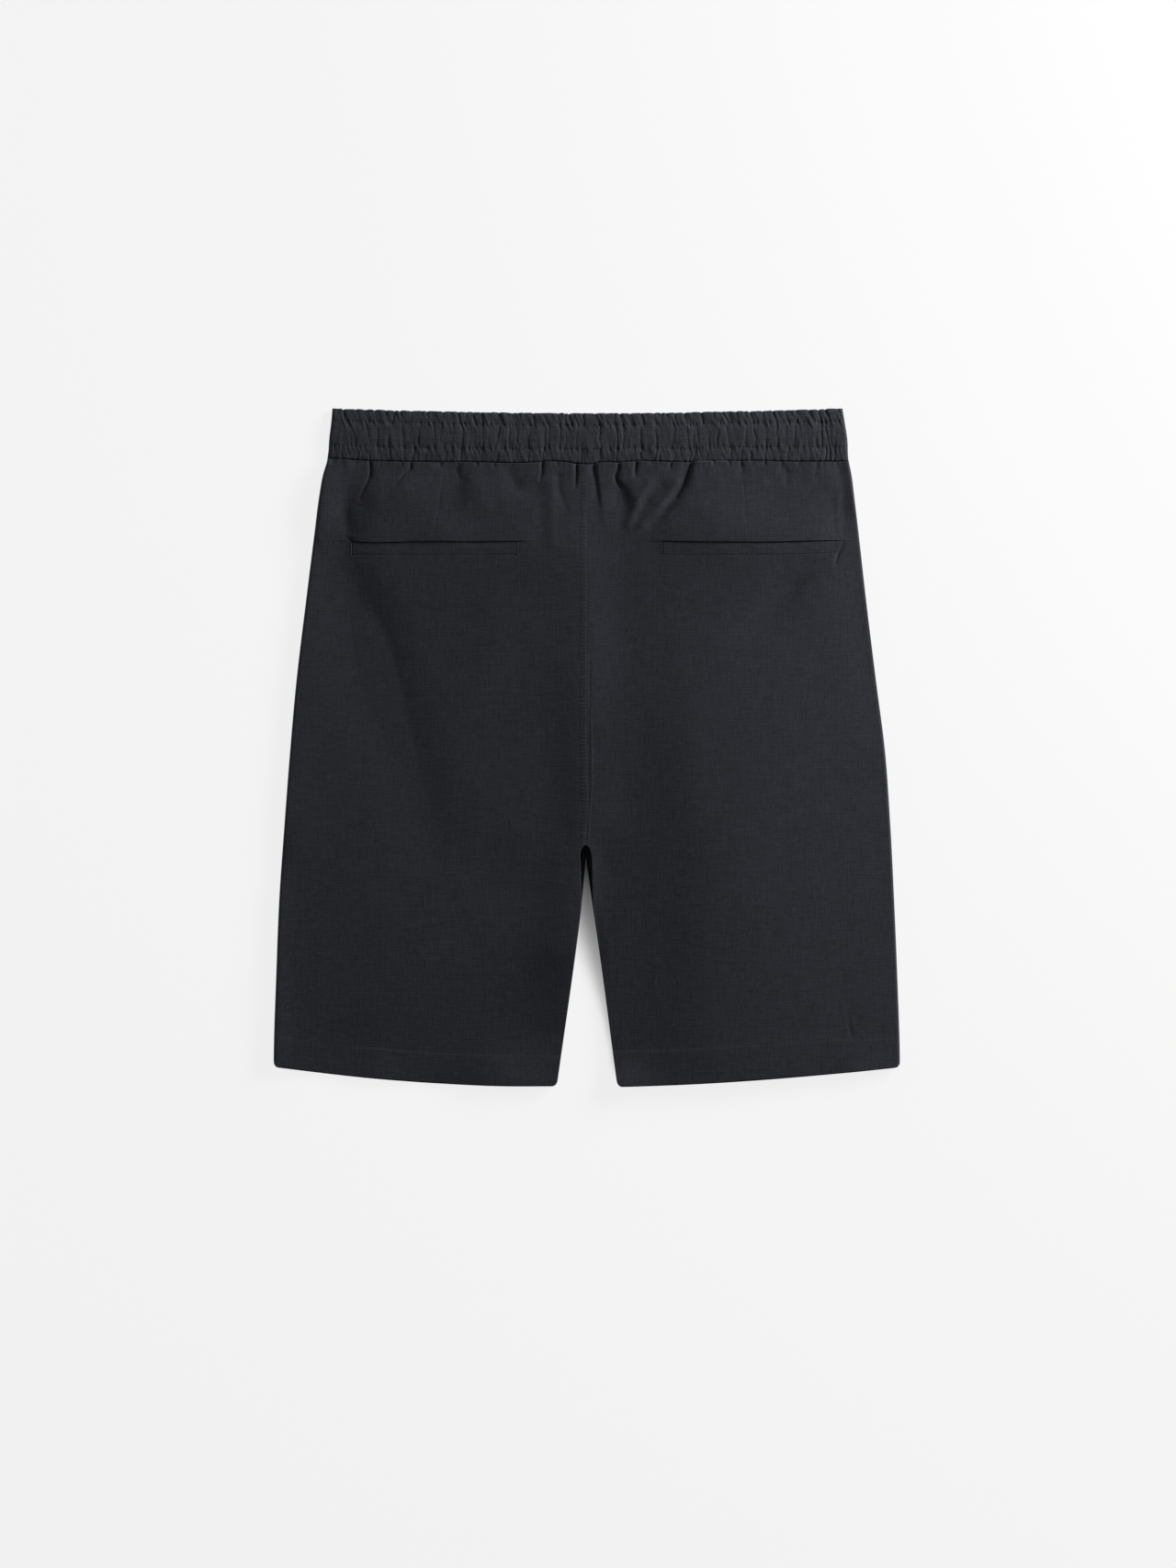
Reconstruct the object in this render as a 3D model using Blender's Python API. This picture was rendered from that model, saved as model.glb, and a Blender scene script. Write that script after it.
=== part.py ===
"""Bermuda shorts with an elasticated waist, laid flat on a table with the back side up.

Lengths are in millimetres until new_piece() turns them to metres. +X is to the right of the garment as
it lies, +Y runs from the hems up to the waist and +Z is up from the table. The origin is on the table
under the middle of the garment. Every piece is a wall of cloth: rows of points over its outer face and
rows over its inner face, joined round the edges. Neighbouring pieces stand SEAM_GAP apart at their seam.
"""

from typing import NamedTuple

import bmesh
import bpy
import numpy as np

MM = 0.001

# Heights above the table
WALL = 1.0
SEAM_GAP = 0.3
SIDE_SEAM_Z = 1.6
BACK_INSIDE_Z = 2.2
BACK_LEVEL_Z = BACK_INSIDE_Z + WALL
BAND_FRONT_THICK = 3.0
BAND_INSIDE_Z = BAND_FRONT_THICK + SEAM_GAP
BAND_LEVEL_Z = BAND_INSIDE_Z + WALL

# Places along the garment
WAIST_SEAM_Y = 226.0
CROTCH_BACK_Y = -76.0
CROTCH_FRONT_Y = -85.5
HEM_Y = -265.0

# The rows of a panel follow the hem and the waist seam this far in, and are level between
HEM_REACH = 70.0
WAIST_REACH = 34.0

# Rolled edges
SIDE_ROLL = 3.2
LEG_ROLL = 2.6
SEAM_ROLL = 0.9
SEAM_DIP = 0.5
HEM_CORNER = 4.0
ROLL_ANGLES = np.radians([0.0, 35.0, 65.0, 90.0])

# Ditch along the waist seam, and the round of the hem's folded edge
WAIST_DITCH = 0.7
WAIST_DITCH_REACH = 3.5
HEM_ROUND = 0.5
HEM_ROUND_REACH = 1.6

# Crotch: the back's rounded arch and the slit of the legs below it
ARCH_HEIGHT = 10.0
ARCH_HALF_WIDTH = 4.4
LEG_SPLIT_Y = -126.0
LEG_SPLIT_HALF_WIDTH = 4.6
LEG_SPREAD = 0.137
LEG_EDGE_REACH = 2.5

# Hem turn-up, with its stitched groove
HEM_DEPTH = 25.0
HEM_GROOVE = 0.35
HEM_GROOVE_WIDTH = 1.6

# Back pocket welts
POCKET_TOP_Y = 161.9
WELT_HEIGHT = 10.5
WELT_RECESS = 0.8
RECESS_EDGE = 0.6

# Columns of points over a back panel: how near they come to its edges, and how many there are
FIRST_COLUMN = 0.018
LAST_COLUMN = 0.975
COLUMNS_TO_WELT = 13
COLUMNS_IN_WELT = 29
SPARSE_STEP = 3

# Top edge of the waistband, which rises to both sides
BAND_TOP_Y = 261.9
BAND_TOP_RISE = 3.7
BAND_TOP_REACH = 198.0
BAND_TOP_POWER = 1.8
BAND_ROLL = 4.0

# Gathers of the waistband casing
GATHER_COLUMNS = 4
CREST_POWER = 0.7
CREST_RISE = 0.5
SHALLOWEST_GATHER = 0.45
GATHER_SEED = 11

# How far the back's cloth stands over its lowest folds: over the whole panel, and more in the gathers
BODY_LIFT = 0.6
GATHER_LIFT = 1.4
GATHER_LIFT_Y = 208.0
GATHER_LIFT_REACH = 32.0
SWELL_FADE = 22.0

OUTWARD = {"left": -1.0, "right": 1.0}


class Side(NamedTuple):
    """A height on the garment and where its left and right side folds are."""

    y: float
    left: float
    right: float


SIDES = (
    Side(-265.0, -245.6, 245.2),
    Side(-241.6, -245.5, 245.0),
    Side(-176.8, -243.5, 242.9),
    Side(-119.2, -241.2, 240.5),
    Side(-61.6, -237.2, 237.6),
    Side(-4.0, -232.8, 233.5),
    Side(53.6, -227.6, 226.2),
    Side(111.2, -220.7, 219.1),
    Side(168.8, -213.5, 212.6),
    Side(197.6, -209.8, 209.2),
    Side(213.5, -207.0, 207.2),
    Side(226.4, -203.3, 204.7),
    Side(243.7, -201.8, 203.7),
    Side(252.4, -200.7, 202.3),
    Side(265.5, -199.5, 200.0),
)


class Point(NamedTuple):
    """A point of a seam's line on the garment."""

    x: float
    y: float


WAIST_SEAM = (
    Point(-206.0, 228.0),
    Point(-172.0, 226.3),
    Point(-110.0, 225.7),
    Point(-50.0, 225.4),
    Point(-28.0, 226.3),
    Point(-11.0, 224.6),
    Point(-5.0, 223.4),
    Point(5.0, 223.4),
    Point(11.0, 225.2),
    Point(44.0, 226.2),
    Point(72.0, 225.0),
    Point(100.0, 225.8),
    Point(208.0, 225.7),
)

CENTRE_BACK = (
    Point(0.0, -265.0),
    Point(0.0, -126.0),
    Point(-0.8, -92.0),
    Point(-1.2, -76.0),
    Point(1.4, -52.0),
    Point(0.6, -20.0),
    Point(0.2, 60.0),
    Point(0.4, 190.0),
    Point(1.2, 226.0),
)


class Hem(NamedTuple):
    """A leg's hem line: lowest point, and its rise of that many millimetres over a reach, to a power."""

    lowest_x: float
    lowest_y: float
    rise: float
    reach: float
    power: float


HEMS = {
    "left": Hem(-52.0, -264.7, 14.0, 185.0, 1.85),
    "right": Hem(20.0, -265.0, 14.3, 217.0, 1.59),
}


class Swell(NamedTuple):
    """A broad soft rise of the laid cloth: its middle, its reach each way and its height."""

    x: float
    y: float
    reach_x: float
    reach_y: float
    height: float


SWELLS = (
    Swell(0.0, 80.0, 18.0, 62.0, 0.9),
    Swell(0.0, -15.0, 10.0, 50.0, 0.5),
    Swell(118.0, -120.0, 62.0, 120.0, 1.4),
    Swell(-18.0, -175.0, 24.0, 75.0, 0.8),
    Swell(-198.0, 80.0, 18.0, 62.0, 1.0),
    Swell(-120.0, -110.0, 60.0, 90.0, 0.7),
    Swell(130.0, 185.0, 60.0, 30.0, 0.8),
    Swell(-115.0, 190.0, 55.0, 26.0, 0.8),
)


class Fold(NamedTuple):
    """A soft trough pressed into the lifted cloth: its share of the lift at each end, its half width and route."""

    start: float
    end: float
    half_width: float
    route: tuple


FOLDS = (
    Fold(1.0, 0.6, 4.2, ((-170, 226), (-170, 214), (-176, 199), (-184, 190), (-185, 178))),
    Fold(0.6, 0.2, 3.4, ((-137, 226), (-138, 216), (-145, 211), (-155, 201))),
    Fold(0.6, 0.1, 3.0, ((-114, 226), (-114, 214))),
    Fold(0.7, 0.5, 4.6, ((-100, 226), (-101, 214), (-96, 207), (-88, 201), (-79, 186))),
    Fold(0.6, 0.1, 3.0, ((-80, 226), (-76, 213))),
    Fold(0.6, 0.3, 4.0, ((-59, 226), (-57, 214), (-50, 203), (-39, 204), (-34, 215), (-34, 226))),
    Fold(0.3, 0.8, 6.0, ((-26, 206), (-32, 194), (-34, 182), (-31, 165))),
    Fold(1.0, 0.5, 3.4, ((-8, 226), (-8, 212), (-9, 197))),
    Fold(1.0, 0.5, 3.4, ((6, 226), (7, 212), (9, 197), (10, 188))),
    Fold(1.0, 0.4, 4.0, ((24, 226), (23, 215), (27, 205), (32, 195), (30, 177))),
    Fold(0.7, 0.2, 3.2, ((41, 226), (42, 213))),
    Fold(0.6, 0.5, 3.8, ((66, 226), (62, 211), (52, 196), (43, 183))),
    Fold(1.0, 0.6, 4.2, ((82, 226), (79, 214), (72, 197), (63, 182), (46, 172))),
    Fold(0.6, 0.1, 3.0, ((99, 226), (97, 216))),
    Fold(0.7, 0.2, 3.4, ((152, 226), (153, 219), (150, 211))),
    Fold(0.6, 0.2, 3.2, ((180, 226), (180, 213))),
    Fold(0.4, 0.5, 3.5, ((204, 214), (204, 196), (201, 168))),
    Fold(0.5, 0.3, 3.0, ((-113, 223), (-117, 190), (-119, 167))),
    Fold(0.5, 0.3, 3.0, ((120, 223), (123, 204), (124, 172))),
    Fold(0.9, 0.0, 13.0, ((-190, 150), (-172, 124), (-153, 95), (-139, 52), (-126, 0), (-108, -70))),
    Fold(0.5, 0.0, 9.0, ((196, 148), (172, 126), (140, 92))),
    Fold(0.5, 0.0, 12.0, ((-30, 60), (-26, 0), (-22, -60))),
    Fold(0.6, 0.0, 16.0, ((40, 24), (54, -20), (60, -90), (64, -180))),
    Fold(0.6, 0.3, 14.0, ((-190, -196), (-140, -214), (-90, -226))),
)


class Welt(NamedTuple):
    """A back pocket's welt: the ends of its opening, and the panel's columns between it and the side fold."""

    side: str
    inner_x: float
    outer_x: float
    columns_past: int


WELTS = (
    Welt("left", -54.0, -184.3, 5),
    Welt("right", 58.3, 195.1, 3),
)


class BandRow(NamedTuple):
    """A row across the waistband: its share of the height, its bulge, the depth and the lean of its gathers."""

    share: float
    bulge: float
    gather: float
    lean: float


BAND_ROWS = (
    BandRow(0.0, -0.6, 0.3, 0.0),
    BandRow(0.04, 0.3, 0.7, 0.0),
    BandRow(0.14, 0.7, 1.1, 0.4),
    BandRow(0.27, 0.0, 0.7, 0.8),
    BandRow(0.34, 0.8, 1.2, 0.9),
    BandRow(0.51, 1.1, 1.5, 0.6),
    BandRow(0.68, 0.8, 1.2, 0.2),
    BandRow(0.75, 0.0, 0.7, 0.0),
    BandRow(0.82, 0.6, 1.2, -0.6),
    BandRow(0.93, 0.6, 1.4, -1.4),
    BandRow(0.98, 0.3, 1.2, -1.8),
    BandRow(1.0, -0.4, 0.9, -2.0),
)

# Where the elastic draws the casing down into a valley, between the two side folds
GATHER_VALLEYS = (
    (-190.8, -180.7, -172.8, -164.2, -155.5, -144.0, -131.0, -121.7, -111.0, -101.0)
    + (-91.0, -82.1, -75.0, -69.1, -61.2, -55.4, -45.4, -38.0, -30.2, -20.0, -7.9, 1.0)
    + (10.1, 21.6, 27.4, 35.0, 42.5, 53.3, 60.0, 67.7, 77.0, 85.7, 94.0, 101.5, 109.4)
    + (117.0, 123.8, 131.8, 139.7, 149.0, 154.8, 165.0, 174.0, 182.9, 191.5)
)


def smooth(t):
    """0 to 1 with level ends."""
    t = np.clip(t, 0.0, 1.0)
    return t * t * (3.0 - 2.0 * t)


def through(stations, values, at):
    """A smooth curve through values at stations, each piece a cubic that shares its slope with the next."""
    stations, values = np.asarray(stations, float), np.asarray(values, float)
    at = np.clip(at, stations[0], stations[-1])
    slopes = np.gradient(values, stations)
    i = np.clip(np.searchsorted(stations, at) - 1, 0, len(stations) - 2)
    width = stations[i + 1] - stations[i]
    t = (at - stations[i]) / width
    return (
        values[i] * (1.0 + 2.0 * t) * (1.0 - t) ** 2
        + values[i + 1] * t * t * (3.0 - 2.0 * t)
        + width * slopes[i] * t * (1.0 - t) ** 2
        - width * slopes[i + 1] * t * t * (1.0 - t)
    )


def side_fold(side, y):
    """X of the garment's side fold at a height."""
    return through([row.y for row in SIDES], [getattr(row, side) for row in SIDES], y)


def waist_seam(x):
    """Y of the seam between the waistband and the back panels."""
    return through([p.x for p in WAIST_SEAM], [p.y for p in WAIST_SEAM], x)


def waist_seam_front(x):
    """Y of the same seam on the front, which is straight between the two side folds."""
    first, last = WAIST_SEAM[0], WAIST_SEAM[-1]
    return np.interp(x, [first.x, last.x], [first.y, last.y])


def band_top(x):
    """Y of the waistband's top edge, a little lower in the middle."""
    return BAND_TOP_Y + BAND_TOP_RISE * np.abs(x / BAND_TOP_REACH) ** BAND_TOP_POWER


def centre_back(y):
    """X of the centre back seam, and of the middle of the leg gap below it."""
    return through([p.y for p in CENTRE_BACK], [p.x for p in CENTRE_BACK], y)


def hem_line(side, x):
    """Y of a leg's hem edge."""
    hem = HEMS[side]
    away = np.clip((x - hem.lowest_x) * OUTWARD[side], 0.0, None)
    return hem.lowest_y + hem.rise * (away / hem.reach) ** hem.power


def leg_gap_back(y):
    """Half the gap between the legs of the back: a round arch at the crotch, then two straight inner legs."""
    into_arch = np.clip((CROTCH_BACK_Y - y) / ARCH_HEIGHT, 0.0, 1.0)
    arch = ARCH_HALF_WIDTH * np.sqrt(1.0 - (1.0 - into_arch) ** 2)
    down = smooth((CROTCH_BACK_Y - y) / (CROTCH_BACK_Y - LEG_SPLIT_Y))
    return arch + (LEG_SPLIT_HALF_WIDTH - ARCH_HALF_WIDTH) * down + LEG_SPREAD * np.clip(LEG_SPLIT_Y - y, 0.0, None)


def leg_gap_front(y):
    """Half the gap of the front's legs, which starts lower, in a narrow point."""
    point = np.clip((CROTCH_FRONT_Y - y) / (CROTCH_FRONT_Y - LEG_SPLIT_Y), 0.0, 1.0)
    return LEG_SPLIT_HALF_WIDTH * point + LEG_SPREAD * np.clip(LEG_SPLIT_Y - y, 0.0, None)


def warped(side, row_y, x, seam=waist_seam):
    """Y of a point of a row: rows follow the hem at the bottom, the waist seam at the top, and are level between."""
    near_hem = 1.0 - smooth((row_y - HEM_Y) / HEM_REACH)
    near_waist = 1.0 - smooth((WAIST_SEAM_Y - row_y) / WAIST_REACH)
    return row_y + near_hem * (hem_line(side, x) - HEM_Y) + near_waist * (seam(x) - WAIST_SEAM_Y)


def along_route(x, y, route):
    """Each point's distance to a route, and the nearest place on it from 0 at its start to 1 at its end."""
    route = np.asarray(route, float)
    lengths = np.linalg.norm(np.diff(route, axis=0), axis=1)
    passed = np.concatenate([[0.0], np.cumsum(lengths)])
    best = np.full(np.shape(x), np.inf)
    place = np.zeros(np.shape(x))
    for start, end, length, before in zip(route, route[1:], lengths, passed):
        direction = (end - start) / length
        along = np.clip((x - start[0]) * direction[0] + (y - start[1]) * direction[1], 0.0, length)
        away = np.hypot(x - start[0] - along * direction[0], y - start[1] - along * direction[1])
        nearer = away < best
        best = np.where(nearer, away, best)
        place = np.where(nearer, (before + along) / passed[-1], place)
    return best, place


def swell(x, y):
    """Height of the broad rises over the plain level, fading to nothing at the side folds."""
    total = np.zeros(np.shape(x))
    for rise in SWELLS:
        across, along = (x - rise.x) / rise.reach_x, (y - rise.y) / rise.reach_y
        total += rise.height * np.exp(-(across**2) - along**2)
    edge = np.minimum(side_fold("right", y) - x, x - side_fold("left", y))
    return total * smooth(edge / SWELL_FADE)


def lift(x, y):
    """How far the cloth stands over its lowest folds: all of the lift, less the share that each fold takes."""
    stands = BODY_LIFT + GATHER_LIFT * np.exp(-(((y - GATHER_LIFT_Y) / GATHER_LIFT_REACH) ** 2))
    for fold in FOLDS:
        away, place = along_route(x, y, fold.route)
        share = fold.start + (fold.end - fold.start) * place
        stands = stands * (1.0 - share * np.exp(-((away / fold.half_width) ** 2)))
    return stands


def back_height(side, x, y):
    """Z of the back's outer face, with the ditch along the waist seam and the stitched groove over the hem."""
    ditch = WAIST_DITCH * (1.0 - smooth((waist_seam(x) - y) / WAIST_DITCH_REACH))
    from_hem = y - hem_line(side, x)
    groove = HEM_GROOVE * np.exp(-(((from_hem - HEM_DEPTH) / HEM_GROOVE_WIDTH) ** 2))
    hem_round = HEM_ROUND * (1.0 - smooth(from_hem / HEM_ROUND_REACH))
    return BACK_LEVEL_Z + swell(x, y) + lift(x, y) - ditch - groove - hem_round


def round_corners(side, x, y, inner_edge, outer_edge):
    """A leg's points with the square corners at its hem turned into quarter circles."""
    for edge, inward in ((inner_edge, OUTWARD[side]), (outer_edge, -OUTWARD[side])):
        p = np.clip(1.0 - np.abs(edge - x) / HEM_CORNER, 0.0, 1.0)
        q = np.clip(1.0 - (y - hem_line(side, x)) / HEM_CORNER, 0.0, 1.0)
        x = x + inward * HEM_CORNER * p * (1.0 - np.sqrt(1.0 - q * q / 2.0))
        y = y + HEM_CORNER * q * (1.0 - np.sqrt(1.0 - p * p / 2.0))
    return x, y


def new_piece(name, colour, outer_rows, inner_rows):
    """A closed wall from rows of points over its outer face and rows over its inner face."""
    points = np.concatenate([*outer_rows, *inner_rows])
    counts = np.cumsum([0] + [len(row) for row in (*outer_rows, *inner_rows)])
    rows = [np.arange(a, b) for a, b in zip(counts, counts[1:])]
    outer, inner = rows[: len(outer_rows)], rows[len(outer_rows) :]
    faces = []
    for surface in (outer, inner):
        for lower, upper in zip(surface, surface[1:]):
            faces += strip(points, lower, upper)
    for end in (0, -1):
        faces += strip(points, [row[end] for row in outer], [row[end] for row in inner])
        faces += strip(points, outer[end], inner[end])
    mesh = bpy.data.meshes.new(name)
    mesh.from_pydata(points * MM, [], faces)
    shape = bmesh.new()
    shape.from_mesh(mesh)
    bmesh.ops.recalc_face_normals(shape, faces=shape.faces)
    shape.to_mesh(mesh)
    shape.free()
    mesh.shade_smooth()
    mesh.set_sharp_from_angle(angle=np.radians(50.0))
    mesh.materials.append(colour)
    piece = bpy.data.objects.new(name, mesh)
    bpy.context.scene.collection.objects.link(piece)


def strip(points, first, second):
    """Triangles between two rows of points, each step across the shorter diagonal."""
    faces = []
    i = j = 0
    while i < len(first) - 1 or j < len(second) - 1:
        if j == len(second) - 1:
            step_first = True
        elif i == len(first) - 1:
            step_first = False
        else:
            over_first = np.linalg.norm(points[first[i + 1]] - points[second[j]])
            over_second = np.linalg.norm(points[first[i]] - points[second[j + 1]])
            step_first = over_first <= over_second
        if step_first:
            faces.append((first[i], first[i + 1], second[j]))
            i += 1
        else:
            faces.append((first[i], second[j + 1], second[j]))
            j += 1
    return faces


def cloth(name, red, green, blue):
    """A matt woven cloth of one colour."""
    material = bpy.data.materials.new(name)
    material.use_nodes = True
    shader = material.node_tree.nodes["Principled BSDF"]
    shader.inputs["Base Color"].default_value = (red, green, blue, 1.0)
    shader.inputs["Roughness"].default_value = 0.9
    shader.inputs["Metallic"].default_value = 0.0
    return material


def panel_rows():
    """Heights of the back panel's rows, from hem to waist, below the pockets and from there up."""
    hem = [HEM_Y + up for up in (0.0, HEM_ROUND_REACH, 5.0, 14.0, HEM_DEPTH - 2.5, HEM_DEPTH, HEM_DEPTH + 2.5)]
    leg = [-222.0, -198.0, -172.0, -148.0, LEG_SPLIT_Y, -106.0, -94.0]
    crotch = [CROTCH_BACK_Y + up for up in (-ARCH_HEIGHT, -5.0, -2.2, -0.6, 0.0, 3.0, 14.0)]
    seat = [-44.0, -20.0, 6.0, 32.0, 58.0, 82.0, 104.0, 124.0]
    pocket = [POCKET_TOP_Y - WELT_HEIGHT * share for share in (1.0, 0.5, 0.0)]
    round_pocket = [140.0, pocket[0] - RECESS_EDGE, *pocket, POCKET_TOP_Y + RECESS_EDGE]
    yoke = [170.0, 177.0, 184.0, 191.0, 198.0, 204.0, 209.0, 213.5, 217.5, 221.0, 223.4, 225.0]
    return hem + leg + crotch + seat, round_pocket + yoke + [WAIST_SEAM_Y - SEAM_GAP / 2]


def front_rows():
    """Heights of the rows of a front panel, and of the inner face of a back panel."""
    leg = [HEM_Y + up for up in (0.0, HEM_ROUND_REACH, 5.0, 14.0, 32.0)] + [-198.0, -160.0, LEG_SPLIT_Y, -104.0, -94.0]
    crotch = [CROTCH_FRONT_Y] + [CROTCH_BACK_Y + up for up in (-5.0, -2.2, -0.6, 0.0, 14.0)]
    return leg + crotch + [-20.0, 32.0, 82.0, 140.0, 184.0, 204.0, 217.0, WAIST_SEAM_Y - SEAM_GAP / 2]


def panel_columns(welt):
    """Shares of a panel's width, from the centre to the side, with columns at and just past the pocket's ends."""
    y = POCKET_TOP_Y - WELT_HEIGHT / 2
    centre, fold = centre_back(y), side_fold(welt.side, y)
    inner, outer = ((end - centre) / (fold - centre) for end in (welt.inner_x, welt.outer_x))
    edge = RECESS_EDGE / abs(fold - centre)
    before = np.linspace(FIRST_COLUMN, inner - edge, COLUMNS_TO_WELT)
    within = np.linspace(inner, outer, COLUMNS_IN_WELT)
    after = np.linspace(outer + edge, LAST_COLUMN, welt.columns_past)
    return np.concatenate([before, within, after]), (len(before), len(before) + len(within))


def panel_edges(side, row_y):
    """X of a panel's centre edge and side fold on a row, and 0 to 1 for how much of a leg the row has."""
    fold = side_fold(side, warped(side, row_y, side_fold(side, row_y)))
    centre = centre_back(row_y) + OUTWARD[side] * (SEAM_GAP / 2 + leg_gap_back(row_y))
    return centre, fold, smooth((CROTCH_BACK_Y - row_y) / LEG_EDGE_REACH)


def back_outside(side, columns, row_y):
    """Points of one row over a back panel's outer face, rolled down to the seams at both ends."""
    centre, fold, legs = panel_edges(side, row_y)
    centre_roll = SEAM_ROLL + (LEG_ROLL - SEAM_ROLL) * legs
    into_centre = centre + OUTWARD[side] * centre_roll * (1.0 - np.sin(ROLL_ANGLES[::-1]))
    into_side = fold - OUTWARD[side] * SIDE_ROLL * (1.0 - np.sin(ROLL_ANGLES))
    x = np.concatenate([into_centre, centre + (fold - centre) * columns, into_side])
    y = warped(side, row_y, x)
    z = back_height(side, x, y)
    seam_z = SIDE_SEAM_Z + SEAM_GAP / 2
    rolled = len(ROLL_ANGLES)
    centre_end = (z[:rolled] - SEAM_DIP) * (1.0 - legs) + seam_z * legs
    z[:rolled] = centre_end + (z[:rolled] - centre_end) * np.cos(ROLL_ANGLES[::-1])
    z[-rolled:] = seam_z + (z[-rolled:] - seam_z) * np.cos(ROLL_ANGLES)
    x, y = round_corners(side, x, y, centre, fold)
    return np.stack([x, y, z], axis=1)


def back_inside(side, row_y):
    """Points of one row over a back panel's plain inner face."""
    centre, fold, legs = panel_edges(side, row_y)
    from_centre = centre + OUTWARD[side] * np.array([WALL * legs, LEG_ROLL * legs + 0.5, 12.0])
    middle = centre + (fold - centre) * np.linspace(0.16, 0.9, 7)
    from_side = fold - OUTWARD[side] * np.array([WALL + 1.6, WALL])
    x = np.concatenate([from_centre, middle, from_side])
    y = warped(side, min(row_y, WAIST_SEAM_Y - WALL), x)
    z = BACK_INSIDE_Z + swell(x, y)
    seam_z = SIDE_SEAM_Z + SEAM_GAP / 2
    z[0] = z[0] * (1.0 - legs) + seam_z * legs
    z[-1] = seam_z
    x, y = round_corners(side, x, y, centre, fold)
    return np.stack([x, y, z], axis=1)


def build_back(welt, colour):
    """A back panel and the welt that lies in its recess, made from the panel's own points."""
    columns, (first, last) = panel_columns(welt)
    recess = slice(len(ROLL_ANGLES) + first, len(ROLL_ANGLES) + last)
    sparse = np.unique([*columns[::SPARSE_STEP], columns[-1]])
    lower, upper = panel_rows()
    outer_rows = [back_outside(welt.side, sparse, row_y) for row_y in lower]
    floor_rows = []
    for row_y in upper:
        row = back_outside(welt.side, columns, row_y)
        if POCKET_TOP_Y - WELT_HEIGHT <= row_y <= POCKET_TOP_Y:
            row[recess, 2] -= WELT_RECESS
            floor_rows.append(row[recess])
        outer_rows.append(row)
    inner_rows = [back_inside(welt.side, row_y) for row_y in front_rows()]
    new_piece(f"back_panel_{welt.side}", colour, outer_rows, inner_rows)
    over = [row + [0.0, 0.0, SEAM_GAP + WALL] for row in floor_rows]
    under = [row + [0.0, 0.0, SEAM_GAP] for row in floor_rows]
    new_piece(f"back_pocket_welt_{welt.side}", colour, over, under)


def front_row(side, row_y):
    """Outer and inner points of one row of a front panel, with a ledge at the crotch that the back lies over."""
    sign = OUTWARD[side]
    rim, fold, legs = panel_edges(side, row_y)
    edge = centre_back(row_y) + sign * (SEAM_GAP / 2 + leg_gap_front(row_y))
    seam_z = SIDE_SEAM_Z - SEAM_GAP / 2
    ledge = np.array([rim, edge + 0.3 * (rim - edge), edge, edge + sign * (LEG_ROLL * 0.4 * legs + SEAM_GAP)])
    ledge_z = np.array([WALL + (seam_z - WALL) * legs, 0.75 * WALL, 0.5 * WALL, 0.0])
    across = np.linspace(edge + sign * 8.0, fold - sign * SIDE_ROLL, 6)
    rolled = fold - sign * SIDE_ROLL * (1.0 - np.sin(ROLL_ANGLES[1:]))
    x = np.concatenate([ledge, across, rolled])
    z = np.concatenate([ledge_z, 0.0 * across, seam_z * (1.0 - np.cos(ROLL_ANGLES[1:]))])
    x, y = round_corners(side, x, warped(side, row_y, x, waist_seam_front), edge, fold)
    outer = np.stack([x, y, z], axis=1)

    rim_width = 0.4 + (WALL - 0.4) * legs
    across = np.linspace(rim + sign * 6.0, fold - sign * 5.0, 5)
    x = np.array([rim + sign * rim_width, *across, fold - sign * WALL])
    z = np.full(len(x), WALL)
    z[0] += (seam_z - WALL) * legs
    z[-1] = seam_z
    x, y = round_corners(side, x, warped(side, row_y, x, waist_seam_front), edge, fold)
    return outer, np.stack([x, y, z], axis=1)


def build_front(side, colour):
    """A front panel: flat on the table, its edges rolled up to the seams it shares with the back."""
    rows = [front_row(side, row_y) for row_y in front_rows()]
    new_piece(f"front_panel_{side}", colour, [outer for outer, _ in rows], [inner for _, inner in rows])


def band_ends(share):
    """X of the waistband's two side folds at a share of its height."""
    y = WAIST_SEAM_Y + share * (band_top(BAND_TOP_REACH) - WAIST_SEAM_Y)
    return side_fold("left", y), side_fold("right", y)


def gather_places():
    """Shares of the band's width at every column, and how high its gather stands: nothing in the valleys."""
    rng = np.random.default_rng(GATHER_SEED)
    left, right = band_ends(0.5)
    valleys = np.array([left, *GATHER_VALLEYS, right])
    steps = np.arange((len(valleys) - 1) * GATHER_COLUMNS + 1) / GATHER_COLUMNS
    places = np.interp(steps, np.arange(len(valleys)), (valleys - left) / (right - left))
    strengths = rng.uniform(SHALLOWEST_GATHER, 1.0, len(valleys))
    crest = np.abs(np.sin(np.pi * steps)) ** CREST_POWER
    return places, crest * np.interp(steps, np.arange(len(valleys)), strengths)


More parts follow.
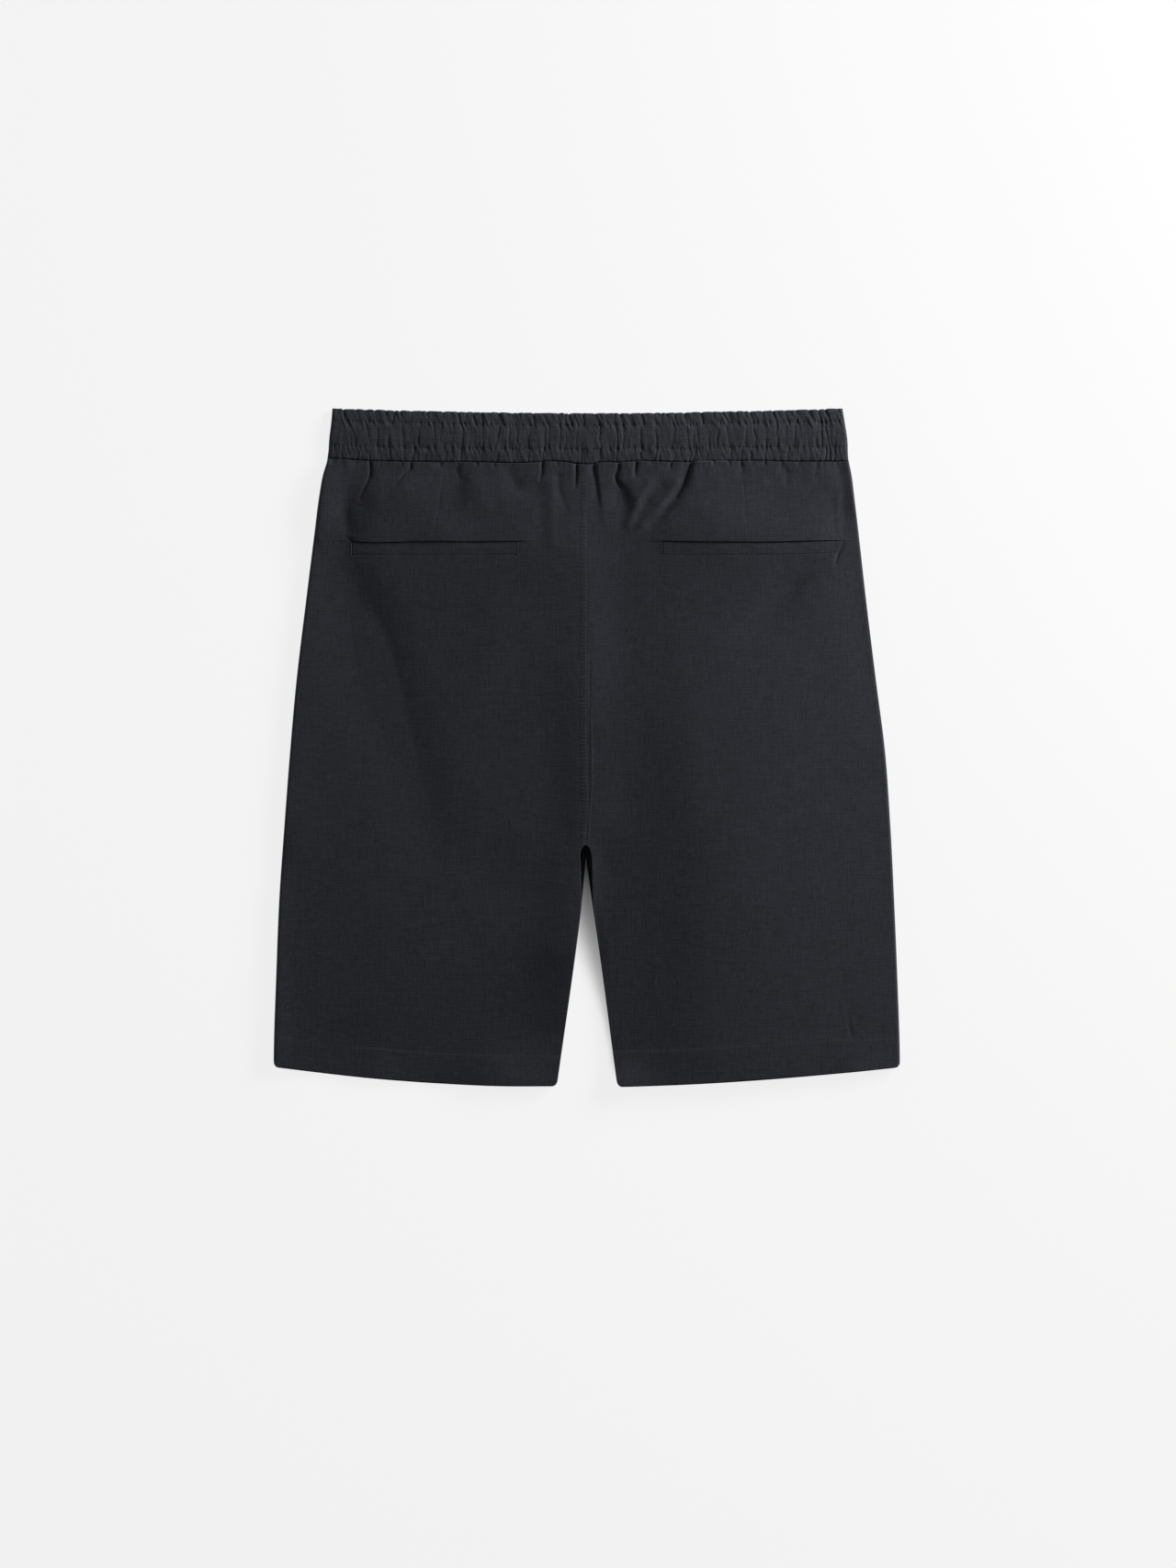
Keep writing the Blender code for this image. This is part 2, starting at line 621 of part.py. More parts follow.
def build_band_back(colour):
    """The back of the waistband: a casing gathered by its elastic, sewn through along two rows."""
    places, crest = gather_places()
    seam_z = SIDE_SEAM_Z + SEAM_GAP / 2
    outer_rows = []
    for row in BAND_ROWS:
        left, right = band_ends(row.share)
        x = left + (right - left) * places + row.lean * np.sin(np.pi * places)
        base, top = waist_seam(x) + SEAM_GAP / 2, band_top(x) + CREST_RISE * (crest - 0.5)
        z = BAND_LEVEL_Z + row.bulge + row.gather * crest
        inward = np.clip(np.minimum(x - left, right - x) / BAND_ROLL, 0.0, 1.0)
        z = seam_z + (z - seam_z) * np.sqrt(1.0 - (1.0 - inward) ** 2)
        outer_rows.append(np.stack([x, base + (top - base) * row.share, z], axis=1))
    inner_rows = []
    for share in (0.02, 0.5, 1.0):
        left, right = band_ends(share)
        x = np.array([left + WALL, *np.linspace(left + BAND_ROLL, right - BAND_ROLL, 21), right - WALL])
        base, top = waist_seam(x) + SEAM_GAP / 2, band_top(x) - CREST_RISE / 2
        z = np.full(len(x), BAND_INSIDE_Z)
        z[[0, -1]] = seam_z
        inner_rows.append(np.stack([x, base + (top - base) * share, z], axis=1))
    new_piece("waistband_back", colour, outer_rows, inner_rows)


def build_band_front(colour):
    """The front of the waistband, plain and flat on the table, with its sides rolled up to the back's."""
    seam_z = SIDE_SEAM_Z - SEAM_GAP / 2
    rolled, rise = SIDE_ROLL * (1.0 - np.sin(ROLL_ANGLES)), seam_z * (1.0 - np.cos(ROLL_ANGLES))
    outer_rows, inner_rows = [], []
    for share in (0.0, 0.06, 0.27, 0.5, 0.75, 0.94, 1.0):
        left, right = band_ends(share)
        edge_round = HEM_ROUND if share in (0.0, 1.0) else 0.0
        across = np.linspace(left + 8.0, right - 8.0, 25)
        outer_x = np.array([*(left + rolled[::-1]), *across, *(right - rolled)])
        outer_z = np.maximum(np.array([*rise[::-1], *(0.0 * across), *rise]), edge_round)
        inner_x = np.array([left + WALL, *across, right - WALL])
        inner_z = np.array([seam_z, *np.full(len(across), BAND_FRONT_THICK - 2.0 * edge_round), seam_z])
        for rows, x, z in ((outer_rows, outer_x, outer_z), (inner_rows, inner_x, inner_z)):
            base, top = waist_seam_front(x) + SEAM_GAP / 2, band_top(x) - 2.0 * SEAM_GAP
            rows.append(np.stack([x, base + (top - base) * share, z], axis=1))
    new_piece("waistband_front", colour, outer_rows, inner_rows)


def main():
    for obj in list(bpy.data.objects):
        bpy.data.objects.remove(obj)
    linen = cloth("dark_linen", 0.022, 0.024, 0.030)
    for welt in WELTS:
        build_back(welt, linen)
        build_front(welt.side, linen)
    build_band_back(linen)
    build_band_front(linen)


main()
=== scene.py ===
"""Bermuda shorts with an elasticated waist, laid flat on a pale table with the back side up.

Lengths are in millimetres until new_mesh() turns them to metres. +X is to the right of the garment as it
lies, +Y runs from the hems up to the waist and +Z is up. Every panel is a thin shell of cloth: a grid of
points over the face that shows, and a second grid on the other face of the cloth, joined round the rim.
"""

import logging
from collections.abc import Callable, Sequence
from dataclasses import dataclass
from enum import Enum
from functools import partial
from typing import NamedTuple

import bpy
import numpy as np
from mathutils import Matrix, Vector


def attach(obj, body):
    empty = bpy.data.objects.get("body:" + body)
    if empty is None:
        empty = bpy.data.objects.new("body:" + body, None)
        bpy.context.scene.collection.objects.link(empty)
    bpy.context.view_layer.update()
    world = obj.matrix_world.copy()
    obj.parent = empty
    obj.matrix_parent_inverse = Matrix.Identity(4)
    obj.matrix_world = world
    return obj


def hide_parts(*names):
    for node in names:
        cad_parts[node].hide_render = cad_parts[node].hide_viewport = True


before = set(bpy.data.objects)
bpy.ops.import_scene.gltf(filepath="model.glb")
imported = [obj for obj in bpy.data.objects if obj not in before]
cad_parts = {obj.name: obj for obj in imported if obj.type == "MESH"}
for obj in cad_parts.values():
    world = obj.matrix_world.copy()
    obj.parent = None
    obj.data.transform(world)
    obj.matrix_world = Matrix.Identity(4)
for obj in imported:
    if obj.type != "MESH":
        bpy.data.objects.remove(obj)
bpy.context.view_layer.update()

Array = np.ndarray
Table = Sequence[tuple[float, ...]]
LOG = logging.getLogger("shorts")
MM = 0.001


class Side(Enum):
    """A side of the garment as it lies, with the sign of X that points away from its middle."""

    LEFT = -1.0
    RIGHT = 1.0

    @property
    def word(self) -> str:
        """The side's name in small letters."""
        return self.name.lower()


def smooth(t: Array) -> Array:
    """0 to 1 with level ends: three times the square less twice the cube, of t held between 0 and 1."""
    t = np.clip(t, 0.0, 1.0)
    return t * t * (3.0 - 2.0 * t)


def round_over(distance: Array, radius: Array | float) -> Array:
    """0 at an edge to 1 a radius away from it, as a quarter circle rises."""
    return np.sqrt(1.0 - (1.0 - np.clip(distance / radius, 0.0, 1.0)) ** 2)


def bell(distance: Array, reach: Array | float) -> Array:
    """1 in the middle, falling off as e to the power of minus the square of distance over reach."""
    return np.exp(-((distance / reach) ** 2))


def rolled(z: Array, from_edge: Array, roll: tuple[float, float]) -> Array:
    """z with an edge that rolls down: by the roll's drop at the edge, and by nothing a radius from it."""
    drop, radius = roll
    return z - drop * (1.0 - round_over(from_edge, radius))


def through(table: Table, at: Array, column: int = 1) -> Array:
    """A smooth curve through a table's rows, each piece a cubic that shares its slope with the next.

    Args:
        table: Rows of a station, rising from row to row, and the values there.
        at: Places to work the curve out at; beyond the ends it stays level.
        column: The column of the values.

    Returns:
        The curve's values.
    """
    knots = np.asarray(table, float)
    x, v = knots[:, 0], knots[:, column]
    at = np.clip(at, x[0], x[-1])
    slopes = np.gradient(v, x)
    i = np.clip(np.searchsorted(x, at) - 1, 0, len(x) - 2)
    width = x[i + 1] - x[i]
    t = (at - x[i]) / width
    ends = v[i] * (1.0 + 2.0 * t) * (1.0 - t) ** 2 + v[i + 1] * t * t * (3.0 - 2.0 * t)
    return ends + width * (slopes[i] * t * (1.0 - t) ** 2 - slopes[i + 1] * t * t * (1.0 - t))


def graded(*spans: tuple[float, float, float]) -> Array:
    """Stations over neighbouring spans, each given as its start, its end and the step wanted in it."""
    parts = [np.linspace(a, b, max(2, int(round((b - a) / step)) + 1)) for a, b, step in spans]
    return np.unique(np.round(np.concatenate(parts), 4))


def odd(stations: Array) -> Array:
    """The same stations, with one more in the longest step if their number is even.

    Args:
        stations: The stations, rising.

    Returns:
        An odd number of stations.
    """
    if len(stations) % 2:
        return stations
    i = int(np.argmax(np.diff(stations)))
    return np.insert(stations, i + 1, (stations[i] + stations[i + 1]) / 2.0)


class Uneven(NamedTuple):
    """A layer of soft random relief: its height, its lattice steps across and along, and its seed."""

    height: float
    across: float
    along: float
    seed: int

    def at(self, x: Array, y: Array) -> Array:
        """The relief at x and y: random values on a lattice, blended smoothly between its knots.

        Args:
            x: Places across.
            y: Places along.

        Returns:
            Heights between minus and plus the layer's own.
        """
        size, middle = 512, 200.0
        knots = np.random.default_rng(self.seed).uniform(-1.0, 1.0, (size, size))
        u, v = x / self.across + middle, y / self.along + middle
        i, j = np.floor(u).astype(int), np.floor(v).astype(int)
        a, b = smooth(u - i), smooth(v - j)
        i, j = i % (size - 1), j % (size - 1)
        low = knots[i, j] * (1.0 - a) + knots[i + 1, j] * a
        high = knots[i, j + 1] * (1.0 - a) + knots[i + 1, j + 1] * a
        return self.height * (low * (1.0 - b) + high * b)


# The cut: outline and seams. Rows of SIDE_FOLDS are Y and X of the left and the right fold, rows of
# WAIST_SEAM are X and Y, and rows of CENTRE_BACK are Y and X.

SIDE_FOLDS = (
    (-265, -245.6, 245.2), (-241.6, -245.5, 245), (-176.8, -243.5, 242.9), (-119.2, -241.2, 240.5),
    (-61.6, -237.2, 237.6), (-4, -232.8, 233.5), (53.6, -227.6, 226.2), (111.2, -220.7, 219.1),
    (168.8, -213.5, 212.6), (197.6, -209.8, 209.2), (213.5, -207, 207.2), (226.4, -203.3, 204.7),
    (243.7, -201.8, 203.7), (252.4, -200.7, 202.3), (265.5, -199.5, 200),
)
WAIST_SEAM = (
    (-206, 227.9), (-172, 226), (-128, 225.1), (-90, 225), (-54, 224.3), (-40, 224.8), (-28, 225.6),
    (-18, 225), (-11, 224.1), (-5, 223.4), (4, 223.5), (12, 224.8), (24, 224.7), (44, 225.7), (58, 225.2),
    (72, 224.8), (90, 225.2), (138, 225.8), (156, 225.4), (208, 225.5),
)
CENTRE_BACK = (
    (-265, 0), (-126, 0), (-92, -0.8), (-76, -1.2), (-52, 1.4), (-20, 0.6), (60, 0.2), (190, 0.4), (226, 1.2),
)


class Hem(NamedTuple):
    """A leg's hem line: its lowest point, and its rise over a reach, to a power."""

    lowest_x: float
    lowest_y: float
    rise: float
    reach: float
    power: float


HEMS = {
    Side.LEFT: Hem(-52.0, -264.7, 14.0, 185.0, 1.85),
    Side.RIGHT: Hem(20.0, -265.0, 14.3, 217.0, 1.59),
}


@dataclass(frozen=True)
class Cut:
    """The outline and the seams that all the panels share."""

    waist_y: float = 226.0
    hem_y: float = -265.0
    band_top_y: float = 261.9
    band_top_rise: float = 3.7
    band_top_power: float = 1.8
    band_half_width: float = 198.0
    crotch_back_y: float = -76.0
    crotch_front_y: float = -85.5
    arch_height: float = 10.0
    arch_half_width: float = 4.4
    split_y: float = -126.0
    split_half_width: float = 4.6
    leg_spread: float = 0.137
    leg_start: float = 2.5
    hem_corner: float = 4.0
    hem_reach: float = 70.0
    waist_reach: float = 34.0
    tuck: float = 0.3

    def side_fold(self, side: Side, y: Array) -> Array:
        """X of a side fold at heights y."""
        return through(SIDE_FOLDS, y, 1 if side is Side.LEFT else 2)

    def waist_seam(self, x: Array) -> Array:
        """Y of the seam between the waistband and the back panels."""
        return through(WAIST_SEAM, x)

    def waist_seam_front(self, x: Array) -> Array:
        """Y of the waist seam on the front, a straight line between the side folds."""
        (x0, y0), (x1, y1) = WAIST_SEAM[0], WAIST_SEAM[-1]
        return np.interp(x, [x0, x1], [y0, y1])

    def band_top(self, x: Array | float) -> Array:
        """Y of the waistband's top edge, which rises to both sides as a power of the distance."""
        return self.band_top_y + self.band_top_rise * np.abs(x / self.band_half_width) ** self.band_top_power

    def band_folds(self, share: Array) -> tuple[Array, Array]:
        """X of the waistband's two side folds at shares of its height."""
        y = self.waist_y + share * (self.band_top(self.band_half_width) - self.waist_y)
        return self.side_fold(Side.LEFT, y), self.side_fold(Side.RIGHT, y)

    def centre_back(self, y: Array) -> Array:
        """X of the centre back seam, and of the middle of the leg gap below it."""
        return through(CENTRE_BACK, y)

    def hem_line(self, side: Side, x: Array) -> Array:
        """Y of a leg's hem: level to its lowest point, then rising as a power of the distance.

        Args:
            side: The leg.
            x: X of the points.

        Returns:
            Y of every point.
        """
        hem = HEMS[side]
        away = np.clip((x - hem.lowest_x) * side.value, 0.0, None)
        return hem.lowest_y + hem.rise * (away / hem.reach) ** hem.power

    def gap_back(self, y: Array) -> Array:
        """Half the gap between the back's legs: a round arch at the crotch, then two straight edges.

        Args:
            y: Heights along the garment.

        Returns:
            Half the gap at every height.
        """
        arch = self.arch_half_width * round_over(self.crotch_back_y - y, self.arch_height)
        down = smooth((self.crotch_back_y - y) / (self.crotch_back_y - self.split_y))
        below = self.leg_spread * np.clip(self.split_y - y, 0.0, None)
        return arch + (self.split_half_width - self.arch_half_width) * down + below

    def gap_front(self, y: Array) -> Array:
        """Half the gap between the front's legs, which starts lower, in a narrow point."""
        point = np.clip((self.crotch_front_y - y) / (self.crotch_front_y - self.split_y), 0.0, 1.0)
        return self.split_half_width * point + self.leg_spread * np.clip(self.split_y - y, 0.0, None)

    def warped(self, side: Side, row_y: Array, x: Array, front: bool = False) -> Array:
        """Y of a row's points: rows follow the hem at the bottom and the waist seam at the top.

        Args:
            side: The panel's side.
            row_y: The row's own height.
            x: X of its points.
            front: True for the front's straight waist seam.

        Returns:
            Y of every point.
        """
        near_hem = 1.0 - smooth((row_y - self.hem_y) / self.hem_reach)
        near_waist = 1.0 - smooth((self.waist_y - row_y) / self.waist_reach)
        seam = self.waist_seam_front(x) if front else self.waist_seam(x)
        return row_y + near_hem * (self.hem_line(side, x) - self.hem_y) + near_waist * (seam - self.waist_y)

    def edges(self, side: Side, row_y: Array) -> tuple[Array, Array, Array]:
        """A row's inner edge, its side fold, and 0 to 1 for how much of a leg it has.

        Args:
            side: The panel's side.
            row_y: The rows' heights.

        Returns:
            X of the inner edge, X of the side fold, and the share of a leg.
        """
        fold = self.side_fold(side, self.warped(side, row_y, self.side_fold(side, row_y)))
        legs = smooth((self.crotch_back_y - row_y) / self.leg_start)
        tuck = (self.tuck if side is Side.RIGHT else 0.0) * (1.0 - legs)
        return self.centre_back(row_y) + side.value * self.gap_back(row_y) - tuck, fold, legs

    def round_corners(
        self, side: Side, x: Array, y: Array, inner: Array, outer: Array
    ) -> tuple[Array, Array]:
        """A leg's points with the square corners at its hem turned into quarter circles.

        Args:
            side: The leg's side.
            x: X of the points.
            y: Y of the points.
            inner: X of the leg's inner edge beside each point.
            outer: X of the leg's side fold beside each point.

        Returns:
            X and Y of the moved points.
        """
        for edge, inward in ((inner, side.value), (outer, -side.value)):
            p = np.clip(1.0 - np.abs(edge - x) / self.hem_corner, 0.0, 1.0)
            q = np.clip(1.0 - (y - self.hem_line(side, x)) / self.hem_corner, 0.0, 1.0)
            x = x + inward * self.hem_corner * p * (1.0 - np.sqrt(1.0 - q * q / 2.0))
            y = y + self.hem_corner * q * (1.0 - np.sqrt(1.0 - p * p / 2.0))
        return x, y


CUT = Cut()


# How the back's cloth lies: broad rises, folds and creases


class Rise(NamedTuple):
    """A broad soft rise: its middle, its reach to the left, the right and along, and its height."""

    x: float
    y: float
    left: float
    right: float
    along: float
    height: float


class Fold(NamedTuple):
    """A trough (or, with depths below nothing, a ridge) along a route.

    left and right are how far it reaches to either side of the route, seen from its start. Its depth runs
    evenly from start to end, or by way of the depth at the middle where one is given.
    """

    start: float
    end: float
    left: float
    right: float
    route: Table
    middle: float | None = None


# Swells of the yoke, and of the legs above their hems.
RISES = [Rise(*row) for row in (
    (-163, 198, 14, 25, 19, 2), (-140, 202, 12, 20, 16, 1.2), (-114, 170, 16, 16, 12, 1.2),
    (-92, 196, 10, 20, 18, 2), (106, 174, 42, 58, 26, 2.9), (-66, -266, 36, 40, 30, 4.6),
    (-44, -268, 40, 14, 14, 1.1), (24, -266, 12, 26, 14, 4.2), (-172, -262, 30, 30, 18, 1.6),
    (214, -262, 20, 30, 22, 2.4),
)]
# Short sharp creases: down from the waist seam, at the crotch, at the pockets' ends, and the darts.
CREASE_FOLDS = [Fold(*row) for row in (
    (-0.4, -1.3, 2, 18, ((-3, -70), (-5, -126), (-23, -262))),
    (1.8, 0.2, 3.4, 3.4, ((-199.2, 226), (-199.4, 221))),
    (2.2, 0.5, 1.2, 1.2, ((-170.3, 226), (-169.2, 218.5), (-169.6, 213.9), (-171.5, 208.5),
     (-173.8, 203.9), (-177.6, 196)), 1.2),
    (1.8, 0.5, 1.1, 1.1, ((-138.1, 226), (-138.1, 218.5), (-143.1, 214.7), (-146.9, 209.3), (-150, 206))),
    (2.2, 0.3, 1, 1, ((-145.3, 226), (-145.2, 220.5))),
    (2.6, 0.3, 1.2, 2.2, ((-114.8, 226), (-114.6, 219.5))),
    (0.4, 0.6, 2.2, 2.2, ((-100.6, 224), (-101.8, 217), (-100, 211))),
    (2.2, 0.2, 1.2, 1.2, ((-86.4, 226), (-86.4, 220.5))), (1.2, 0.2, 1, 1, ((-72.7, 226), (-72.7, 218.5))),
    (1.9, 0.5, 1.1, 1.1, ((-34.9, 226), (-35.2, 216.5), (-36.8, 210))),
    (1.8, 0.2, 1.3, 1.3, ((-24.6, 226), (-22.6, 221.5))),
    (2.8, 0.3, 0.9, 1.2, ((-8.4, 226), (-8.1, 214.7), (-8.8, 207), (-9.1, 203)), 1.7),
    (2.3, 0.3, 1.3, 3.5, ((5.7, 226), (6.1, 216.2), (7.4, 207), (8.4, 199.3), (9.6, 189)), 1.3),
    (1.9, 1.1, 1.3, 1.5, ((25, 226), (24.5, 218.5), (22.3, 213), (23.4, 208.5), (26, 204.5))),
    (2.6, 0.9, 1.3, 1.3, ((38.2, 226), (37.6, 213.5))), (1.8, 0.2, 1, 1, ((50, 226), (50, 222))),
    (2.4, 0.5, 1.1, 1.1, ((65.8, 226), (64.9, 218))),
    (2, 0.7, 1.1, 1.4, ((81.7, 226), (80.9, 220), (78.7, 214.7), (76.4, 207), (73.2, 201.6), (70.2, 196.3))),
    (2, 0.2, 1, 1, ((99, 226), (98.6, 221))), (2, 0.2, 1.2, 1.2, ((111, 226), (110.8, 221.5))),
    (2.2, 0.3, 1.2, 1.2, ((120.3, 226), (120.8, 219))), (2.2, 0.2, 1, 1, ((138.9, 226), (138.9, 220.5))),
    (1.6, 0.4, 1.1, 1.1, ((151.8, 226), (151.4, 218))), (2.2, 0.2, 1.1, 1.1, ((165.8, 226), (165.8, 221))),
    (1, 0.3, 1.6, 1.6, ((180.2, 226), (179.4, 219), (178, 213.5))),
    (0.6, 0.2, 5, 12, ((194.4, 228), (197, 214), (199, 205)), 0.6),
    (0.6, 0.8, 1.2, 1.2, ((200.4, 159.5), (196.6, 152.5), (194.6, 144.5)), 1),
    (1.4, 0.3, 1, 1, ((-183.6, 162.2), (-186.2, 163.4), (-189.6, 164.9))),
    (0.22, 0.22, 0.8, 0.8, ((-112.2, 219), (-119.8, 165))),
    (0.15, 0.15, 0.8, 0.8, ((122.2, 208), (124.8, 168))),
)]
# Folds between the waist seam and the pockets.
YOKE_FOLDS = [Fold(*row) for row in (
    (1.4, 1.2, 17, 13, ((-177, 215), (-185, 202), (-190, 190), (-191, 179), (-187, 170)), 2.2),
    (0.5, 0.8, 5.5, 6, ((-187.5, 197), (-189, 189), (-189.5, 181), (-187, 172)), 1.3),
    (0.9, 0.6, 9, 10, ((-106, 218), (-103.5, 210), (-97.5, 199), (-92.5, 190), (-88, 178)), 1),
    (0.9, 0.7, 5, 5.5, ((-61.5, 219), (-59, 210), (-53.5, 203), (-47, 201.5), (-41, 203.5)), 1.1),
    (0.3, 0.4, 7, 6, ((-37, 201), (-39, 191), (-36, 181), (-37.5, 166)), 0.35),
    (-0.4, -0.4, 4.2, 4.2, ((-27, 206), (-27.6, 190), (-27, 160))),
    (0.8, 0.3, 3, 3.2, ((-22.6, 212), (-23, 203), (-19.5, 195), (-17, 188))),
    (-0.4, -0.4, 12, 3.4, ((9, 216), (11.2, 205), (12.2, 196), (12.8, 188), (13, 180)), -0.85),
    (0.3, 0.6, 5.5, 14, ((20.6, 216), (21.9, 207), (27, 200), (29.4, 193), (27.9, 180)), 1.9),
    (-0.3, -0.5, 14, 5.5, ((28.3, 216), (29.6, 207), (34.7, 200), (37.1, 193), (35.4, 180)), -1.1),
    (-0.7, -0.5, 3.4, 3.6, ((48.5, 208), (45.5, 202), (41.5, 196), (38, 188), (34.5, 181), (31, 175)), -1),
    (0.8, 0.5, 4, 4.5, ((57.5, 204.5), (49, 197), (42.5, 187), (39.5, 180)), 1.2),
    (-0.7, -0.7, 3.2, 3.6, ((70.5, 208), (65.5, 200), (60, 193.5), (55, 187), (49, 181),
     (42.5, 175.5)), -1.1),
    (-1.4, -0.8, 30, 4, ((84, 218), (80, 207), (74, 196), (66, 184)), -1.3),
    (-1.1, -1, 110, 58, ((66, 236), (64, 176)), -1.3),
    (0.8, 0.8, 5, 3.5, ((79.5, 222), (77, 213), (74.5, 205), (70, 198), (65.5, 191.5), (61.5, 186.5),
     (56.5, 181), (50, 176.5)), 1.7),
    (-0.9, -0.9, 9, 4, ((-205, 206), (-209.5, 166))), (0.5, 0.4, 7, 6, ((-201, 225), (-200, 214))),
    (0.8, 0.6, 4, 3, ((154, 218), (149, 213), (142, 210.5))),
    (0.5, 0.3, 3.2, 3.2, ((120.5, 219), (120.5, 205))), (0.5, 0.3, 2.6, 2.6, ((156, 215), (156, 207))),
    (0.2, 0.4, 3.4, 4, ((191.5, 200), (192, 185), (193, 172))),
    (-0.2, -0.2, 2.4, 2.4, ((196.6, 204), (196.6, 190), (197, 170))),
    (0.5, 0.5, 4.2, 5, ((197, 226), (199.4, 212), (200.4, 190), (200.2, 168)), 0.6),
)]
# Broad troughs and ridges of the seat and the legs, and the fine ones along the centre seam and a hem.
BODY_FOLDS = [Fold(*row) for row in (
    (-2.8, -2.4, 20, 60, ((-7, 142), (-4, 100), (-3, 62))),
    (-0.7, -2.8, 26, 19, ((-3, 78), (-2, 30), (-1, -50)), -2.4),
    (3.7, 1.4, 20, 36, ((-199, 154), (-184, 118), (-169, 88), (-155, 46), (-141, 0), (-122, -60)), 2.7),
    (-3.4, -2.4, 36, 10, ((-214, 212), (-236, 100), (-249, -40))),
    (-1.8, -2.6, 46, 10, ((-256, -70), (-262, -262))), (0.8, 0.9, 44, 44, ((-109, -90), (-104, -200))),
    (-2.2, -0.2, 8, 40, ((0, -96), (-3, -140), (-13.5, -226)), -5.3),
    (0.7, 0.1, 5.5, 2, ((-1, -88), (0.4, -105), (3.7, -134), (7.8, -162), (12.4, -191)), 1.1),
    (0.4, 0.5, 24, 50, ((-45, -66), (-46, -160)), 2.1),
    (-6.6, -5.4, 105, 60, ((86, 14), (98, -50), (108, -120), (104, -200), (98, -262)), -7.6),
    (2.2, 1.8, 42, 60, ((-190, -238), (-70, -258))), (-0.8, -0.6, 24, 24, ((-70, 96), (-92, 40))),
    (3.2, 1.4, 10, 24, ((211, 174), (225, 100), (237, 30))),
    (0.4, 0.9, 5, 16, ((192, 151), (165, 127.5), (130.5, 94)), 2.6),
    (-1.2, -1.5, 10, 5, ((-244, -110), (-245.5, -262))),
    (0.15, 0.5, 1.6, 1.3, ((203.6, -209), (205, -219), (207.8, -227.5)), 0.35),
    (-0.25, -0.25, 0.8, 0.9, ((2.4, 34), (3.4, 10), (3.6, -30), (1.4, -56), (0.8, -72))),
    (0.2, 0.25, 0.8, 0.8, ((2.2, 72), (2.2, 24))),
)]


def fold_relief(x: Array, y: Array, folds: Sequence[Fold], power: float) -> Array:
    """How far a set of folds draws the cloth down, summed.

    Each point takes the fold's depth at the nearest place on its route, times e to the power of minus
    the distance over the reach on that side, raised to a power. Round a route's ends the reach passes
    smoothly from one side's to the other's.

    Args:
        x: X of the points.
        y: Y of the points.
        folds: The folds.
        power: 2 gives a round trough, 1 a sharp one.

    Returns:
        The drop at every point.
    """
    x, y = np.broadcast_arrays(x, y)
    total = np.zeros(x.shape)
    for fold in folds:
        route = np.asarray(fold.route, float)
        lengths = np.linalg.norm(np.diff(route, axis=0), axis=1)
        passed = np.concatenate([[0.0], np.cumsum(lengths)])
        best = np.full(x.shape, np.inf)
        place, hand = np.zeros(x.shape), np.zeros(x.shape)
        for start, end, length, before in zip(route, route[1:], lengths, passed):
            way = (end - start) / length
            dx, dy = x - start[0], y - start[1]
            along = np.clip(dx * way[0] + dy * way[1], 0.0, length)
            away = np.hypot(dx - along * way[0], dy - along * way[1])
            nearer = away < best
            best = np.where(nearer, away, best)
            place = np.where(nearer, (before + along) / passed[-1], place)
            hand = np.where(nearer, (way[0] * dy - way[1] * dx) / np.maximum(away, 1e-6), hand)
        reach = fold.right + (fold.left - fold.right) * smooth(0.5 + 0.5 * hand)
        middle = (fold.start + fold.end) / 2.0 if fold.middle is None else fold.middle
        depth = np.interp(place, (0.0, 0.5, 1.0), (fold.start, middle, fold.end))
        total += depth * np.exp(-((best / reach) ** power))
    return total


